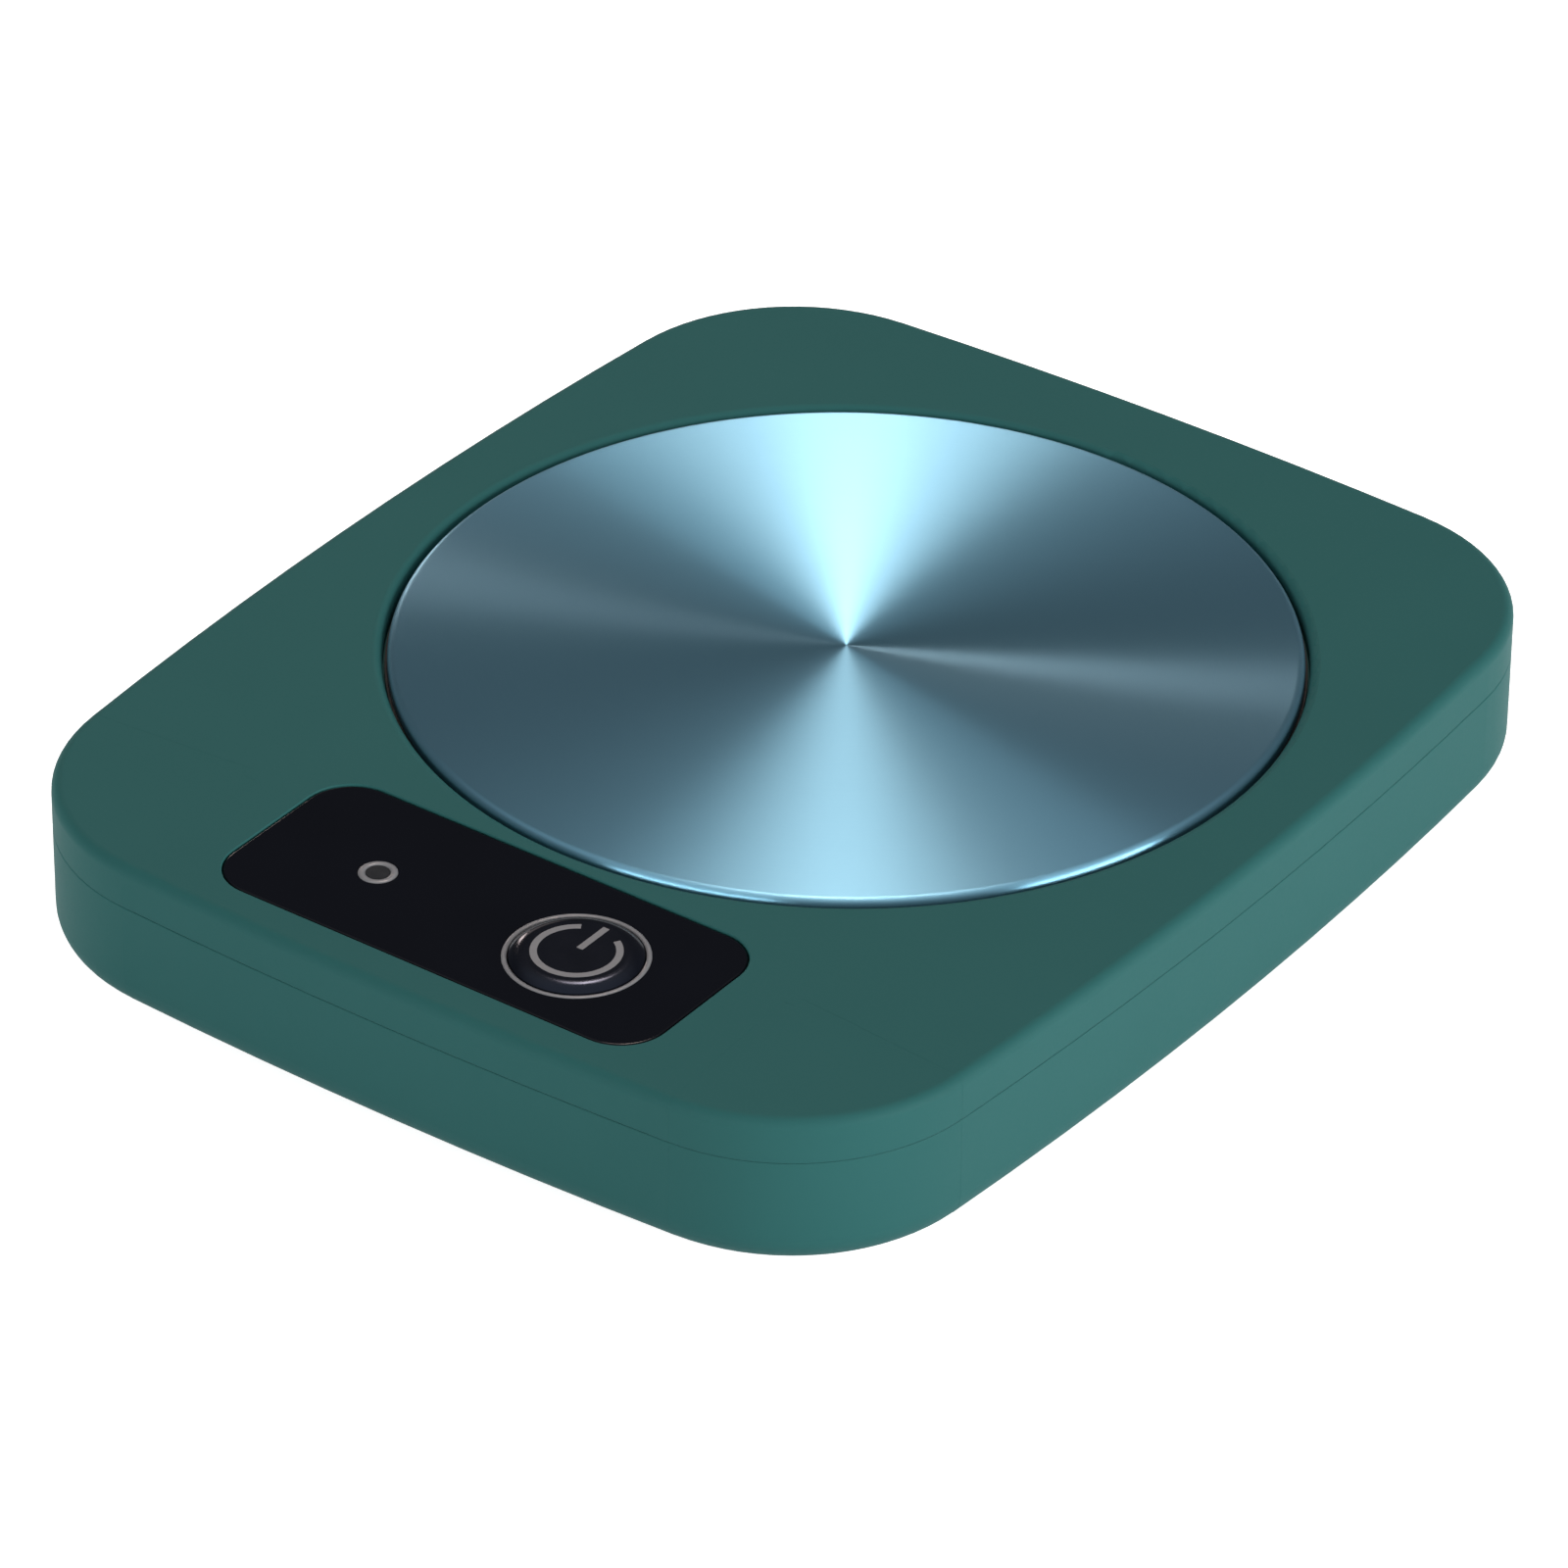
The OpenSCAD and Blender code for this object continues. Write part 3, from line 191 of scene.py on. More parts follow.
share = add_node(spin, "ShaderNodeMath", {0: row, 1: given["Steps"]}, operation="DIVIDE")
angle = add_node(spin, "ShaderNodeMath", {0: share, 1: 2 * math.pi}, operation="MULTIPLY")
position = add_node(spin, "GeometryNodeInputPosition")
sample = add_node(spin, "GeometryNodeSampleIndex", {"Geometry": given["Geometry"], "Value": position,
    "Index": column}, data_type="FLOAT_VECTOR", domain="POINT")
turned = add_node(spin, "ShaderNodeVectorRotate", {"Vector": sample, "Angle": angle},
    rotation_type="Z_AXIS")
laid = add_node(spin, "GeometryNodeSetPosition", {"Geometry": grid, "Position": turned})
closed = add_node(spin, "GeometryNodeMergeByDistance", {"Geometry": laid, "Distance": 0.002 * MM})
outwards = add_node(spin, "GeometryNodeFlipFaces", {"Mesh": closed})
add_node(spin, "NodeGroupOutput", {"Geometry": outwards})


def spun_mesh(tree, corners, steps):
    """Adds a shape that is turned from its half section to a tree."""
    return add_node(tree, "GeometryNodeGroup", {"Geometry": half_section(tree, corners), "Steps": steps},
        node_tree=spin)


# Marks that a tree may leave on faces to tell its finishes apart
MARKS = ("wire", "core", "cap", "coat", "bare")


def grow(name, tree, sizes, points, edges=()):
    """Runs a tree on points or lines in mm, and returns the plain mesh that it makes as an object."""
    start = bpy.data.meshes.new(name + "_start")
    start.from_pydata([Vector(point) * MM for point in points], edges, [])
    thing = bpy.data.objects.new(name, start)
    bpy.context.scene.collection.objects.link(thing)
    modifier = thing.modifiers.new("shape", "NODES")
    modifier.node_group = tree
    for socket in tree.interface.items_tree:
        if socket.name in sizes:
            modifier[socket.identifier] = sizes[socket.name]
    thing.update_tag()
    bpy.context.view_layer.update()
    graph = bpy.context.evaluated_depsgraph_get()
    made = bpy.data.meshes.new_from_object(thing.evaluated_get(graph), depsgraph=graph)
    thing.modifiers.clear()
    thing.data = made
    made.name = name
    while None in made.materials[:]:
        made.materials.pop(index=made.materials[:].index(None))
    for mark in MARKS:
        if mark in made.attributes:
            made.attributes.remove(made.attributes[mark])
    clean(made)
    return thing


def clean(mesh, crease=35):
    """Merges doubles, turns all faces outwards and smooths what isn't a real edge."""
    work = bmesh.new()
    work.from_mesh(mesh)
    bmesh.ops.remove_doubles(work, verts=work.verts, dist=0.001 * MM)
    bmesh.ops.recalc_face_normals(work, faces=work.faces)
    work.to_mesh(mesh)
    work.free()
    mesh.shade_smooth()
    mesh.set_sharp_from_angle(angle=math.radians(crease))


def fit(piece, slot, *nodes):
    """Fixes a finished piece in the housing, and hides the CAD nodes that it stands for. The slot is not
    used.
    """
    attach(piece, "housing")
    if nodes:
        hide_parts(*nodes)


# Anodised aluminium: the dyed oxide tints the metal under it. The tool's marks are about 0.1 mm
# apart: drawn at 0.5 mm to show. The face runs up a little from its middle, which sets the fans.
MARK_STEP, MARK_DEPTH, LEAN = 0.5 * MM, 0.006 * MM, math.radians(8.0)
spun, tree, shader, place = new_material("anodised_spun_aluminium", {"Base Color": linear("#72a5bd"),
    "Metallic": 0.86, "Roughness": 0.3, "Anisotropic": 0.98, "Anisotropic Rotation": 0.25})
plate_low, plate_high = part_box("heating_plate")
plate_middle = (plate_low + plate_high) / 2
to_middle = (-plate_middle.x, -plate_middle.y, 0.0)
centred = add_node(tree, "ShaderNodeMapping", {"Vector": place, "Location": to_middle})
flat = add_node(tree, "ShaderNodeVectorMath", {0: centred, 1: (1.0, 1.0, 0.0)}, operation="MULTIPLY")
radius = add_node(tree, "ShaderNodeVectorMath", {0: flat}, operation="LENGTH")
pitch = add_node(tree, "ShaderNodeMath", {0: radius, 1: 1 / MARK_STEP}, operation="MULTIPLY")
marks = add_node(tree, "ShaderNodeTexNoise", {"W": pitch, "Scale": 1.0, "Detail": 3.0},
    noise_dimensions="1D")
depth = add_node(tree, "ShaderNodeMath", {0: marks, 1: MARK_DEPTH}, operation="MULTIPLY")
height = add_node(tree, "ShaderNodeMath", {0: radius, 1: math.tan(LEAN), 2: depth},
    operation="MULTIPLY_ADD")
bump = add_node(tree, "ShaderNodeBump", {"Height": height, "Strength": 1.0, "Distance": 1.0})
tangent = add_node(tree, "ShaderNodeTangent", direction_type="RADIAL", axis="Z")
feed(tree, shader, {"Normal": bump, "Tangent": tangent})

# In mm: the plate's middle, and where its bosses stand
PLATE_X, PLATE_Y = plate_middle.x / MM, plate_middle.y / MM
BOSS_CIRCLE_R = 30.85
BOSS_PLACES = [(PLATE_X + BOSS_CIRCLE_R * math.cos(math.radians(a)),
    PLATE_Y + BOSS_CIRCLE_R * math.sin(math.radians(a))) for a in (90, 210, 330)]

# The heights are above the table.
plate_sizes = {"Radius": (plate_high.x - plate_low.x) / 2, "Edge radius": 0.8 * MM, "Top": plate_high.z,
    "Underside": plate_high.z - 1.6 * MM, "Spigot radius": 40.45 * MM, "Spigot foot": 15.2 * MM,
    "Boss radius": 3 * MM, "Boss hole radius": 1.28 * MM, "Boss foot": plate_low.z,
    "Middle": (plate_middle.x, plate_middle.y, 0.0), "Metal": spun}
tree, given = sized_tree("turned_plate", plate_sizes)
disc = spun_mesh(tree, [(0.0, given["Top"], 0.0), (given["Radius"], given["Top"], given["Edge radius"]),
    (given["Radius"], given["Underside"], 0.1 * MM), (given["Spigot radius"], given["Underside"], 0.1 * MM),
    (given["Spigot radius"], given["Spigot foot"], 0.1 * MM), (0.0, given["Spigot foot"], 0.0)], 360)
disc = add_node(tree, "GeometryNodeTransform", {"Geometry": disc, "Translation": given["Middle"]})
boss = spun_mesh(tree, [(given["Boss hole radius"], given["Underside"], 0.0),
    (given["Boss hole radius"], given["Boss foot"], 0.15 * MM),
    (given["Boss radius"], given["Boss foot"], 0.15 * MM), (given["Boss radius"], given["Underside"], 0.0),
    (given["Boss hole radius"], given["Underside"], 0.0)], 48)
bosses = add_node(tree, "GeometryNodeInstanceOnPoints", {"Points": given["Geometry"], "Instance": boss})
whole = add_node(tree, "GeometryNodeJoinGeometry", {"Geometry": [bosses, disc]})
end_tree(tree, whole, {"": given["Metal"]})
hot_plate = grow("hot_plate", tree, plate_sizes, [(x, y, 0) for x, y in BOSS_PLACES])
fit(hot_plate, "anodised_plate", "heating_plate")


# ---- Plate gasket and sensor boot ----
# Moulded silicone, matte black. The gasket seals the gap round the hot plate and keeps its heat
# from the shell; the boot presses the thermistor's bead against the metal.

# Silicone has an index of 1.41. It stays matte, and a faint bloom greys it in patches of 4 mm.
silicone, tree, shader, place = new_material("silicone_black", {"IOR": 1.41})
lay_grain(tree, shader, place, size=0.25 * MM, depth=0.015 * MM, smooth=0.55, rough=0.7)
lay_clouds(tree, shader, place, size=4 * MM, detail=2.0, dark="#0e0f10", light="#141516")
give(silicone, "plate_gasket", "sensor_boot")


# ---- Heater film and insulation pad ----
# The heater is an etched foil track between two amber polyimide films, which are clear enough to
# show the track as a darker meander. Below it lies a pad of pressed mica flakes and ceramic paper.

def wave_scale(spacing):
    """Returns the scale of a Wave Texture whose bands lie so far apart: it repeats every 2 pi / 20."""
    return 2 * math.pi / (20 * spacing)


# Polyimide film is smooth and glossy. The tracks under it lie 2.4 mm apart.
polyimide, tree, shader, place = new_material("polyimide_film", {"IOR": 1.7, "Roughness": 0.18,
    "Coat Weight": 0.3, "Coat Roughness": 0.1})
centred = add_node(tree, "ShaderNodeMapping", {"Vector": place, "Location": to_middle})
track = add_node(tree, "ShaderNodeTexWave", {"Vector": centred, "Scale": wave_scale(2.4 * MM)},
    wave_type="RINGS", rings_direction="Z", wave_profile="SIN").outputs["Fac"]
edge = add_node(tree, "ShaderNodeMapRange", {"Value": track, "From Min": 0.45, "From Max": 0.55})
lay_tones(tree, shader, edge, low="#b5702a", high="#6e4a26")
give(polyimide, "heater_film")

# Pressed mica shows pale flakes, about 1.6 mm wide, whose smooth middles catch the light.
mica, tree, shader, place = new_material("pressed_mica", {"IOR": 1.58})
flakes = add_node(tree, "ShaderNodeTexVoronoi", {"Vector": place, "Scale": 1 / (1.6 * MM)})
lay_relief(tree, shader, flakes, strength=0.2, depth=0.05 * MM, smooth=0.35, rough=0.8)
lay_tones(tree, shader, flakes, low="#cfc8b4", high="#b9ae94")
give(mica, "insulation_pad")


# ---- Pressure plate and fuse clip ----
# Punched from zinc-plated sheet steel. The rolling leaves faint lines along the sheet, and the
# bright zinc over them is lightly clouded.

# The rolling lines are finer than the eye parts: drawn 0.4 mm apart to show. The clouds are 9 mm wide.
zinc_sheet, tree, shader, place = new_material("zinc_plated_sheet_steel", {"Metallic": 1.0})
drawn = add_node(tree, "ShaderNodeMapping", {"Vector": place, "Scale": (0.04, 1.0, 1.0)})
lines = add_node(tree, "ShaderNodeTexNoise", {"Vector": drawn, "Scale": 1 / (0.4 * MM), "Detail": 2.0})
lay_relief(tree, shader, lines, strength=0.1, depth=0.01 * MM, smooth=0.25, rough=0.45)
lay_clouds(tree, shader, place, size=9 * MM, detail=4.0, dark="#a9adb2", light="#bcc0c4")
give(zinc_sheet, "pressure_plate", "fuse_clip")


# ---- Thermal fuse ----
# A one-shot fuse: a glazed ceramic barrel, crimped to a round shoulder at both ends, with a tinned
# copper wire out of each. It lies against the pressure plate under its clip.

# Glazed ceramic is cream with fine specks, under a thin clear gloss.
ceramic, tree, shader, place = new_material("glazed_ceramic", {"IOR": 1.54, "Coat Weight": 0.5,
    "Coat Roughness": 0.08})
lay_grain(tree, shader, place, size=0.5 * MM, depth=0.01 * MM, smooth=0.3, rough=0.45)
lay_clouds(tree, shader, place, size=0.8 * MM, detail=4.0, dark="#dcd4ba", light="#e9e3ce")

# Dipped tin is a soft silver that dulls in patches of 1.5 mm.
tinned, tree, shader, place = new_material("tinned_copper", {"Metallic": 1.0})
lay_grain(tree, shader, place, size=0.3 * MM, depth=0.01 * MM, smooth=0.22, rough=0.4)
lay_clouds(tree, shader, place, size=1.5 * MM, detail=3.0, dark="#b2b5b7", light="#c9cbcc")

fuse_sizes = {"Radius": 1.7 * MM, "Length": 9 * MM, "Shoulder": 0.5 * MM, "Wire radius": 0.45 * MM,
    "Wire length": 6 * MM, "Barrel": ceramic, "Wire": tinned}
tree, given = sized_tree("barrel_fuse", fuse_sizes)
half = add_node(tree, "ShaderNodeMath", {0: given["Length"], 1: 0.5}, operation="MULTIPLY")
tip = add_node(tree, "ShaderNodeMath", {0: half, 1: given["Wire length"]}, operation="ADD")
back_half, back_tip = (add_node(tree, "ShaderNodeMath", {0: end, 1: -1.0}, operation="MULTIPLY")
    for end in (half, tip))
barrel = spun_mesh(tree, [(0.0, half, 0.0), (given["Radius"], half, given["Shoulder"]),
    (given["Radius"], back_half, given["Shoulder"]), (0.0, back_half, 0.0)], 48)
wire = spun_mesh(tree, [(0.0, tip, 0.0), (given["Wire radius"], tip, 0.1 * MM),
    (given["Wire radius"], back_tip, 0.1 * MM), (0.0, back_tip, 0.0)], 24)
wire = add_node(tree, "GeometryNodeStoreNamedAttribute", {"Geometry": wire, "Name": "wire", "Value": True},
    data_type="BOOLEAN", domain="FACE")
whole = add_node(tree, "GeometryNodeJoinGeometry", {"Geometry": [barrel, wire]})
along_y = add_node(tree, "GeometryNodeTransform", {"Geometry": whole,
    "Rotation": (math.radians(90), 0.0, 0.0)})
placed = add_node(tree, "GeometryNodeInstanceOnPoints", {"Points": given["Geometry"], "Instance": along_y})
end_tree(tree, placed, {"": given["Barrel"], "wire": given["Wire"]})

FUSE_X, FUSE_Z = 16, 11.4
fuse = grow("thermal_fuse_barrel", tree, fuse_sizes, [(FUSE_X, PLATE_Y, FUSE_Z)])
fit(fuse, "ceramic", "thermal_fuse")


# ---- Thermistor ----
# A bead of red glass, fused round the sensor's two wires, that stands in the bore of its boot.

# Fused glass has a wet gloss over a red body with tiny seeds in it.
bead, tree, shader, place = new_material("fused_red_glass", {"IOR": 1.5, "Roughness": 0.08,
    "Coat Weight": 0.4, "Coat Roughness": 0.05})
lay_clouds(tree, shader, place, size=0.6 * MM, detail=2.0, dark="#7a2722", light="#97362f")
give(bead, "thermistor")


# ---- Control panel and its tape ----
# Clear acrylic sheet, cut with round corners and painted black on its back, which gives a deep wet
# gloss with a bright line along its eased edge. A frame of black foam tape holds it in its recess.

# Acrylic has an index of 1.49. The sheet is all but flat, and its waves of 6 mm only stir what it reflects.
acrylic, tree, shader, place = new_material("acrylic_back_painted_black", {"IOR": 1.49,
    "Specular IOR Level": 0.2})
lay_grain(tree, shader, place, size=6 * MM, depth=0.004 * MM, smooth=0.07, rough=0.1)
lay_clouds(tree, shader, place, size=12 * MM, detail=1.0, dark="#0a0c12", light="#0c0e15")
give(acrylic, "control_panel")

# Foam is dull: its open cells are 0.25 mm wide. Each cell is painted darker towards its pit, as painted shade
# in the cell.
foam, tree, shader, place = new_material("foam_tape_black", {"IOR": 1.5})
cells = add_node(tree, "ShaderNodeTexVoronoi", {"Vector": place, "Scale": 1 / (0.25 * MM)})
lay_relief(tree, shader, cells, strength=0.4, depth=0.05 * MM, smooth=0.7, rough=0.9)
# Painted shade: the tone runs dark in the cells' pits and light on their rims.
lay_tones(tree, shader, cells, low="#131415", high="#1f2022")
give(foam, "panel_tape")


# ---- Power button ----
# Gloss black ABS with a round shoulder, guided in the shell and stopped by a flange under it. Its
# power sign and the ring round it are grey plastic inlays under a clear lacquer.

# ABS from a polished mould: a gloss with soft edges, silvery where it reflects.
abs_black, tree, shader, place = new_material("abs_gloss_black", {"IOR": 1.53, "Specular IOR Level": 0.3,
    "Specular Tint": linear("#c2d6ff")})
lay_grain(tree, shader, place, size=2.5 * MM, depth=0.006 * MM, smooth=0.12, rough=0.17)
lay_clouds(tree, shader, place, size=5 * MM, detail=1.0, dark="#0a0c12", light="#0d0f16")
give(abs_black, "power_button")

# A satin lacquer over grey plastic keeps the sign even from all sides.
inlay, tree, shader, place = new_material("lacquered_grey_inlay", {"IOR": 1.5, "Coat Weight": 0.3,
    "Coat Roughness": 0.2})
lay_grain(tree, shader, place, size=0.3 * MM, depth=0.008 * MM, smooth=0.38, rough=0.5)
lay_clouds(tree, shader, place, size=0.6 * MM, detail=3.0, dark="#5f6165", light="#686a6e")
give(inlay, "button_ring", "power_symbol", "light_ring")


# ---- Tact switch ----
# The button's stem pushes the plunger of a small switch that is soldered to the board: a tinned
# steel cover over a contact dome, and a plunger moulded in black filled plastic.

# Tinned and pressed: bright, with clouds of 2 mm where the tin has flowed.
tin_cover, tree, shader, place = new_material("tinned_pressed_steel", {"Metallic": 1.0})
lay_grain(tree, shader, place, size=0.5 * MM, depth=0.01 * MM, smooth=0.2, rough=0.36)
lay_clouds(tree, shader, place, size=2 * MM, detail=3.0, dark="#aaadb0", light="#c0c3c5")
give(tin_cover, "switch_body")

# Filled epoxy is dull and dark grey. Its grain is as fine as the filler: drawn at 0.15 mm to show.
epoxy, tree, shader, place = new_material("moulded_epoxy_black", {"IOR": 1.55})
lay_grain(tree, shader, place, size=0.15 * MM, depth=0.02 * MM, smooth=0.5, rough=0.68)
lay_clouds(tree, shader, place, size=0.2 * MM, detail=3.0, dark="#1a1b1e", light="#26272a")
give(epoxy, "switch_plunger")


# ---- Pilot light ----
# A rod of smoked acrylic with polished ends carries the light of an LED on the board up into the
# ring in the panel. The LED is a white moulded body under a dome of clear resin.

# Smoked acrylic is half clear, so that the rod's end looks dark grey and deep.
smoked, tree, shader, place = new_material("smoked_acrylic", {"IOR": 1.49, "Transmission Weight": 0.35})
lay_grain(tree, shader, place, size=1.5 * MM, depth=0.004 * MM, smooth=0.12, rough=0.2)
lay_clouds(tree, shader, place, size=1.5 * MM, detail=2.0, dark="#26282b", light="#303236")
give(smoked, "light_pipe")

# Clear epoxy makes the white body under it look warm and glassy.
resin, tree, shader, place = new_material("clear_resin_over_white", {"IOR": 1.53, "Coat Weight": 0.6,
    "Coat Roughness": 0.06})
lay_grain(tree, shader, place, size=0.4 * MM, depth=0.008 * MM, smooth=0.25, rough=0.35)
lay_clouds(tree, shader, place, size=1 * MM, detail=1.0, dark="#e2deca", light="#ece8d6")
give(resin, "led")


# ---- Control board and inlet board ----
# Glass-fibre laminate, 1.2 and 1 mm thick, under a glossy green solder mask. The weave of the glass
# shows through the mask as a fine check, and the routed edges are bare and yellowish.

# The glass yarns lie 0.6 mm apart, as in a heavy board cloth.
laminate, tree, shader, place = new_material("glass_fibre_laminate", {"IOR": 1.52, "Coat Weight": 0.3,
    "Coat Roughness": 0.15})
warp, weft = (add_node(tree, "ShaderNodeTexWave", {"Vector": place, "Scale": wave_scale(0.6 * MM)},
    bands_direction=direction).outputs["Fac"] for direction in "XY")
weave = add_node(tree, "ShaderNodeMath", {0: warp, 1: weft}, operation="MULTIPLY")
lay_relief(tree, shader, weave, strength=0.2, depth=0.02 * MM, smooth=0.22, rough=0.32)
mask = add_node(tree, "ShaderNodeMix", {"Factor": weave, "A": linear("#1b5437"), "B": linear("#21643f")},
    data_type="RGBA")
facing = add_node(tree, "ShaderNodeNewGeometry").outputs["Normal"]
upright = add_node(tree, "ShaderNodeSeparateXYZ", {"Vector": facing}).outputs["Z"]
face = add_node(tree, "ShaderNodeMath", {0: upright}, operation="ABSOLUTE")
tone = add_node(tree, "ShaderNodeMix", {"Factor": face, "A": linear("#b3a76a"), "B": mask},
    data_type="RGBA")
feed(tree, shader, {"Base Color": tone})
give(laminate, "control_board", "inlet_board")

# In mm: the boards' upper faces, and the line along which the controls' parts stand
BOARD_Z, INLET_BOARD_Z = 9.0, 5.37
CONTROLS_Y = -49.98


# ---- Control chip and power transistor ----
# Moulded in black epoxy round their metal leads. The leads of both are stamped from tinned copper
# strip and bent down to the board in a gull's wing.

def bevelled_box(name, middle, size, bevel, material):
    """Makes a moulded block from the middle of its base, its size and its edge bevel, in mm."""
    work = bmesh.new()
    bmesh.ops.create_cube(work, size=1.0)
    bmesh.ops.scale(work, vec=Vector(size) * MM, verts=work.verts)
    bmesh.ops.translate(work, vec=(Vector(middle) + Vector((0, 0, size[2] / 2))) * MM, verts=work.verts)
    bmesh.ops.bevel(work, geom=list(work.edges), offset=bevel * MM, segments=2, profile=0.5, affect="EDGES")
    mesh = bpy.data.meshes.new(name)
    work.to_mesh(mesh)
    work.free()
    mesh.materials.append(material)
    clean(mesh)
    thing = bpy.data.objects.new(name, mesh)
    bpy.context.scene.collection.objects.link(thing)
    return thing


def chain(lines):
    """Strings up lines, each a list of points: returns all points, and the edges that join them."""
    points, edges = [], []
    for line in lines:
        edges += [(len(points) + k, len(points) + k + 1) for k in range(len(line) - 1)]
        points += line
    return points, edges


# Draws a strip of metal along each line: bent with a small radius, and flat side up
strip_sizes = {"Width": 0.4 * MM, "Thickness": 0.2 * MM, "Bend radius": 0.12 * MM, "Metal": tinned}
strips, given = sized_tree("bent_strips", strip_sizes)
line = add_node(strips, "GeometryNodeMeshToCurve", {"Mesh": given["Geometry"]})
bent = add_node(strips, "GeometryNodeFilletCurve", {"Curve": line, "Count": 5,
    "Radius": given["Bend radius"], "Limit Radius": True}, mode="POLY")
level = add_node(strips, "GeometryNodeSetCurveNormal", {"Curve": bent}, mode="Z_UP")
profile = add_node(strips, "GeometryNodeCurvePrimitiveQuadrilateral", {"Width": given["Width"],
    "Height": given["Thickness"]}, mode="RECTANGLE")
strip = add_node(strips, "GeometryNodeCurveToMesh", {"Curve": level, "Profile Curve": profile,
    "Fill Caps": True})
end_tree(strips, strip, {"": given["Metal"]})

# The chip, in mm: the step of its four leads on each long side, and the reach and height of each bend
CHIP_LEAD_STEP = 1.27
CHIP_WING = ((1.8, 0.75), (2.2, 0.75), (2.4, 0.12), (2.75, 0.12))
chip = bevelled_box("control_chip_body", (0, CONTROLS_Y, BOARD_Z + 0.1), (5, 4, 1.5), 0.12, epoxy)
fit(chip, "chip_plastic", "control_chip")
lines = [[((i - 1.5) * CHIP_LEAD_STEP, CONTROLS_Y + side * reach, BOARD_Z + height)
    for reach, height in CHIP_WING] for side in (-1, 1) for i in range(4)]
chip_leads = grow("control_chip_leads", strips, strip_sizes, *chain(lines))
fit(chip_leads, "switch_cover")

# The transistor, in mm: its place, its two leads on each side of its middle, and their bends
TRANSISTOR_X, TRANSISTOR_LEAD_X = 21, 2.3
TRANSISTOR_WING = ((2.8, 1.0), (3.5, 1.0), (4.0, 0.27), (5.1, 0.27))
transistor = bevelled_box("power_transistor_body", (TRANSISTOR_X, CONTROLS_Y, BOARD_Z + 0.02),
    (6.6, 6.1, 2.28), 0.2, epoxy)
fit(transistor, "chip_plastic", "power_transistor")
lines = [[(TRANSISTOR_X + side * TRANSISTOR_LEAD_X, CONTROLS_Y - reach, BOARD_Z + height)
    for reach, height in TRANSISTOR_WING] for side in (-1, 1)]
transistor_leads = grow("power_transistor_leads", strips, {"Width": 0.8 * MM, "Thickness": 0.5 * MM,
    "Bend radius": 0.25 * MM, "Metal": tinned}, *chain(lines))
fit(transistor_leads, "switch_cover")


# ---- Capacitor ----
# A drawn aluminium can with a rolled groove near its foot, which grips the rubber seal. It stands
# on a square plate of black moulded plastic.

# The die leaves fine upright lines, which spread the shine sideways: drawn 0.2 mm apart to show.
can_metal, tree, shader, place = new_material("drawn_aluminium_can", {"Metallic": 1.0})
drawn = add_node(tree, "ShaderNodeMapping", {"Vector": place, "Scale": (1.0, 1.0, 0.05)})
lines = add_node(tree, "ShaderNodeTexNoise", {"Vector": drawn, "Scale": 1 / (0.2 * MM), "Detail": 2.0})
gloss = add_node(tree, "ShaderNodeMapRange", {"Value": lines, "To Min": 0.2, "To Max": 0.4})
feed(tree, shader, {"Roughness": gloss})
lay_tones(tree, shader, lines, low="#b3b6ba", high="#c4c7ca")

can_sizes = {"Radius": 3.15 * MM, "Top": 5.2 * MM, "Foot": 0.8 * MM, "Groove height": 1.8 * MM,
    "Groove depth": 0.3 * MM, "Metal": can_metal}
tree, given = sized_tree("rolled_can", can_sizes)
waist = add_node(tree, "ShaderNodeMath", {0: given["Radius"], 1: given["Groove depth"]},
    operation="SUBTRACT")
above, below = (add_node(tree, "ShaderNodeMath", {0: given["Groove height"], 1: step * MM},
    operation="ADD") for step in (0.35, -0.35))
can = spun_mesh(tree, [(0.0, given["Top"], 0.0), (given["Radius"], given["Top"], 0.4 * MM),
    (given["Radius"], above, 0.1 * MM), (waist, given["Groove height"], 0.25 * MM),
    (given["Radius"], below, 0.1 * MM), (given["Radius"], given["Foot"], 0.15 * MM),
    (0.0, given["Foot"], 0.0)], 64)
placed = add_node(tree, "GeometryNodeInstanceOnPoints", {"Points": given["Geometry"], "Instance": can})
end_tree(tree, placed, {"": given["Metal"]})

CAPACITOR = (-20.4, -51.48, BOARD_Z)
capacitor = grow("capacitor_can", tree, can_sizes, [CAPACITOR])
fit(capacitor, "can_aluminium", "capacitor")
capacitor_foot = bevelled_box("capacitor_foot", CAPACITOR, (6.6, 6.6, 1.0), 0.15, epoxy)
fit(capacitor_foot, "chip_plastic")


# ---- Chip resistors ----
# Each is a chip of white ceramic with a black glass coat over its resistive film, and a tinned cap
# at both ends that the solder wets.

# Fired glass is smooth and black, with a few pits.
glass_coat, tree, shader, place = new_material("black_glass_coat", {"IOR": 1.52})
lay_grain(tree, shader, place, size=0.15 * MM, depth=0.006 * MM, smooth=0.18, rough=0.32)
lay_clouds(tree, shader, place, size=0.3 * MM, detail=2.0, dark="#16171a", light="#222428")

resistor_sizes = {"Body": (1.6 * MM, 0.8 * MM, 0.44 * MM), "Cap": (0.3 * MM, 0.8 * MM, 0.5 * MM),
    "Coat": (0.95 * MM, 0.72 * MM, 0.05 * MM), "Ceramic": ceramic, "Caps": tinned, "Glass": glass_coat}
tree, given = sized_tree("resistor_row", resistor_sizes)
size = add_node(tree, "ShaderNodeSeparateXYZ", {"Vector": given["Body"]}).outputs
cap_size = add_node(tree, "ShaderNodeSeparateXYZ", {"Vector": given["Cap"]}).outputs
core_x = add_node(tree, "ShaderNodeMath", {0: size["X"], 1: cap_size["X"]}, operation="SUBTRACT")
core = add_node(tree, "ShaderNodeCombineXYZ", {"X": core_x, "Y": size["Y"], "Z": size["Z"]})
reach = add_node(tree, "ShaderNodeMath", {0: core_x, 1: 0.5}, operation="MULTIPLY")
middle_z = add_node(tree, "ShaderNodeMath", {0: size["Z"], 1: 0.5}, operation="MULTIPLY")
